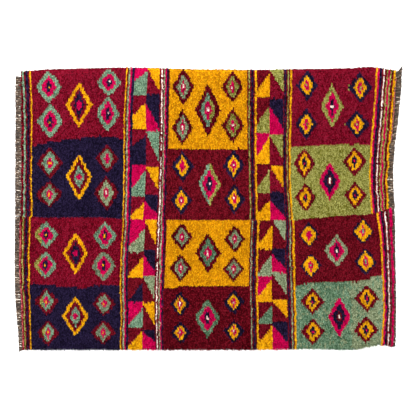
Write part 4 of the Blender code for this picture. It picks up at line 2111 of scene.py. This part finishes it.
@dataclass
class Studio:
    """A plain pale floor, soft light from above and a camera straight above the rug."""

    camera_height: float = 12.0
    camera_range: float = 100.0
    frame_wide: float = 2.045
    frame_middle: Place = Place(0.0018, 0.0001)
    pile_level: float = 0.020
    sensor: float = 36.0
    floor_size: float = 30.0
    room_strength: float = 0.80

    def build_floor(self) -> None:
        """Lay the floor."""
        bpy.ops.mesh.primitive_plane_add(size=self.floor_size)
        floor = bpy.context.object
        floor.name = "floor"
        paint = bpy.data.materials.new("matt_white_floor_paint")
        paint.use_nodes = True
        shader = paint.node_tree.nodes["Principled BSDF"]
        shader.inputs["Base Color"].default_value = linear("#f4f4f4")
        shader.inputs["Roughness"].default_value = 0.9
        floor.data.materials.append(paint)

    def add_light(self, name: str, place: Vector, size: float, power: float) -> None:
        """Hang a square soft light that faces the rug's middle.

        Args:
            name: The light's name.
            place: Where it hangs, in metres.
            size: The length of its sides.
            power: Its power in watts.
        """
        data = bpy.data.lights.new(name, "AREA")
        data.size = size
        data.energy = power
        light = bpy.data.objects.new(name, data)
        light.location = place
        light.rotation_euler = (-place).to_track_quat("-Z", "Y").to_euler()
        bpy.context.scene.collection.objects.link(light)

    def light_room(self) -> None:
        """Light the rug from above, mostly from one side, in a soft white room."""
        self.add_light("key_light", Vector((-2.6, 2.9, 5.6)), size=1.6, power=1000.0)
        self.add_light("fill_light", Vector((2.8, -1.8, 4.4)), size=3.0, power=120.0)
        world = bpy.data.worlds.new("soft_room")
        world.use_nodes = True
        room = world.node_tree.nodes["Background"]
        room.inputs["Color"].default_value = (1.0, 1.0, 1.0, 1.0)
        room.inputs["Strength"].default_value = self.room_strength
        bpy.context.scene.world = world
        bpy.context.scene.view_settings.view_transform = "Standard"

    def add_camera(self) -> None:
        """Hang the camera, whose frame is frame_wide metres wide at the pile's level."""
        data = bpy.data.cameras.new("camera")
        data.sensor_width = self.sensor
        data.lens = self.sensor * (self.camera_height - self.pile_level) / self.frame_wide
        data.clip_end = self.camera_range
        camera = bpy.data.objects.new("camera", data)
        camera.location = (self.frame_middle.x, self.frame_middle.y, self.camera_height)
        bpy.context.scene.collection.objects.link(camera)
        bpy.context.scene.camera = camera

    def build(self) -> None:
        """Make the floor, the lights, the surroundings and the camera."""
        self.build_floor()
        self.light_room()
        self.add_camera()


def stand_for(piece: Object, node: str | None = None) -> None:
    """Attach a finished piece to the body that it rides on, hide the node that it stands for and log its
    triangles.

    Args:
        piece: The finished piece.
        node: The node that the piece replaces, or None.
    """
    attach(piece, BODY)
    if node:
        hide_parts(node)
    piece.data.calc_loop_triangles()
    log.info("%s: %d triangles", piece.name, len(piece.data.loop_triangles))


def plan_fringes(upper: LoomWidth, lower: LoomWidth) -> dict[str, tuple[WarpFringe, WarpFringe]]:
    """Plan the four fringes.

    Args:
        upper: The upper loom width.
        lower: The lower loom width.

    Returns:
        The left and the right fringe of each width, by the width's name.
    """
    left_past = (Place(0, 6.5),)
    right_past = (
        Place(0, 8), Place(60, 5), Place(200, 3), Place(300, 8), Place(400, 9.5), Place(640, 12)
    )
    return {
        "upper": (
            WarpFringe("fringe_left_upper", upper, Side.LEFT, 649.0, left_past, white_share=0.16, seed=3),
            WarpFringe(
                "fringe_right_upper",
                upper,
                Side.RIGHT,
                665.0,
                right_past,
                white_share=0.14,
                flare_high=43.0,
                seed=4,
            ),
        ),
        "lower": (
            WarpFringe(
                "fringe_left_lower", lower, Side.LEFT, -698.0, white_share=0.07, flare_low=10.0, seed=5
            ),
            WarpFringe("fringe_right_lower", lower, Side.RIGHT, -682.0, white_share=0.04, seed=6),
        ),
    }


def spin_twinings(
    upper: LoomWidth, lower: LoomWidth, coral: Material, dark: Material, spinner: YarnTree
) -> dict[str, Object]:
    """Spin the twined yarn that shows at one pile end of each width.

    Args:
        upper: The upper loom width, twined at its right end.
        lower: The lower loom width, twined at its left end.
        coral: The coral wool.
        dark: The dark wool.
        spinner: The two-ply yarn tree.

    Returns:
        The twining's piece, by the width's name.
    """
    corner_y = lower.plan.rim[1][0] + 8
    left = EndTwining("coral_twining_left", lower, Side.LEFT, corner_y, -60, inset=5.0, level=9.0)
    right = EndTwining("coral_twining_right", upper, Side.RIGHT, 330, 652, inset=-4.5, level=12.5)
    return {
        "upper": Yarn(5.5, 16.0, 3.0, coral, dark).spin(right.name, right.strands(), spinner),
        "lower": Yarn(7.5, 14.0, 3.0, coral, coral).spin(left.name, left.strands(), spinner),
    }


def main() -> None:
    """Build and dress the rug, piece by piece."""
    logging.basicConfig(level=logging.INFO, format="%(name)s: %(message)s")
    Studio().build()
    wool = {dye: finish.material() for dye, finish in WOOL_FINISHES.items()}
    goat_hair, coral, dark = GOAT_HAIR.material(), CORAL_YARN.material(), DARK_YARN.material()
    sewing, ground_weave = SEWING_YARN.material(), WovenGround().material()
    grower, spinner = TuftTree(), YarnTree()
    upper = LoomWidth(
        "upper",
        "pile_strip_upper",
        1,
        UPPER_CHART,
        knots_across=72,
        seed=20,
        rim_trim=UPPER_TRIM,
        end_trim=UPPER_END_TRIM,
    )
    # The lower width's wool is spun and dyed more evenly
    lower = LoomWidth(
        "lower",
        "pile_strip_lower",
        -1,
        LOWER_CHART,
        knots_across=65,
        seed=60,
        rim_trim=LOWER_TRIM,
        uneven=0.15,
        lock_spread=0.80,
    )
    warp_yarn = Yarn(3.4, 9.0, 4.0, goat_hair, goat_hair)
    matted_hair = FeltedHair().material()
    fringes = plan_fringes(upper, lower)
    twinings = spin_twinings(upper, lower, coral, dark, spinner)
    for width in (upper, lower):
        knots = width.knots()
        pile = [width.build_roots(knots, wool), *width.build_tufts(knots, grower, wool)]
        for piece in pile:
            stand_for(piece, width.node)
        for fringe in fringes[width.name]:
            mat = fringe.build_mat(matted_hair)
            yarns = warp_yarn.spin(fringe.node + "_strands", fringe.strands(), spinner)
            for piece in (mat, yarns):
                stand_for(piece, fringe.node)
        twining = twinings[width.name]
        stand_for(twining)
        ground = width.build_ground(ground_weave)
        stand_for(ground, width.node)
    stitches = SeamSewing(upper).strands()
    thread = Yarn(2.0, 6.0, 3.0, sewing, sewing).spin("seam_sewing_thread", stitches, spinner)
    stand_for(thread)


if __name__ == "__main__":
    main()
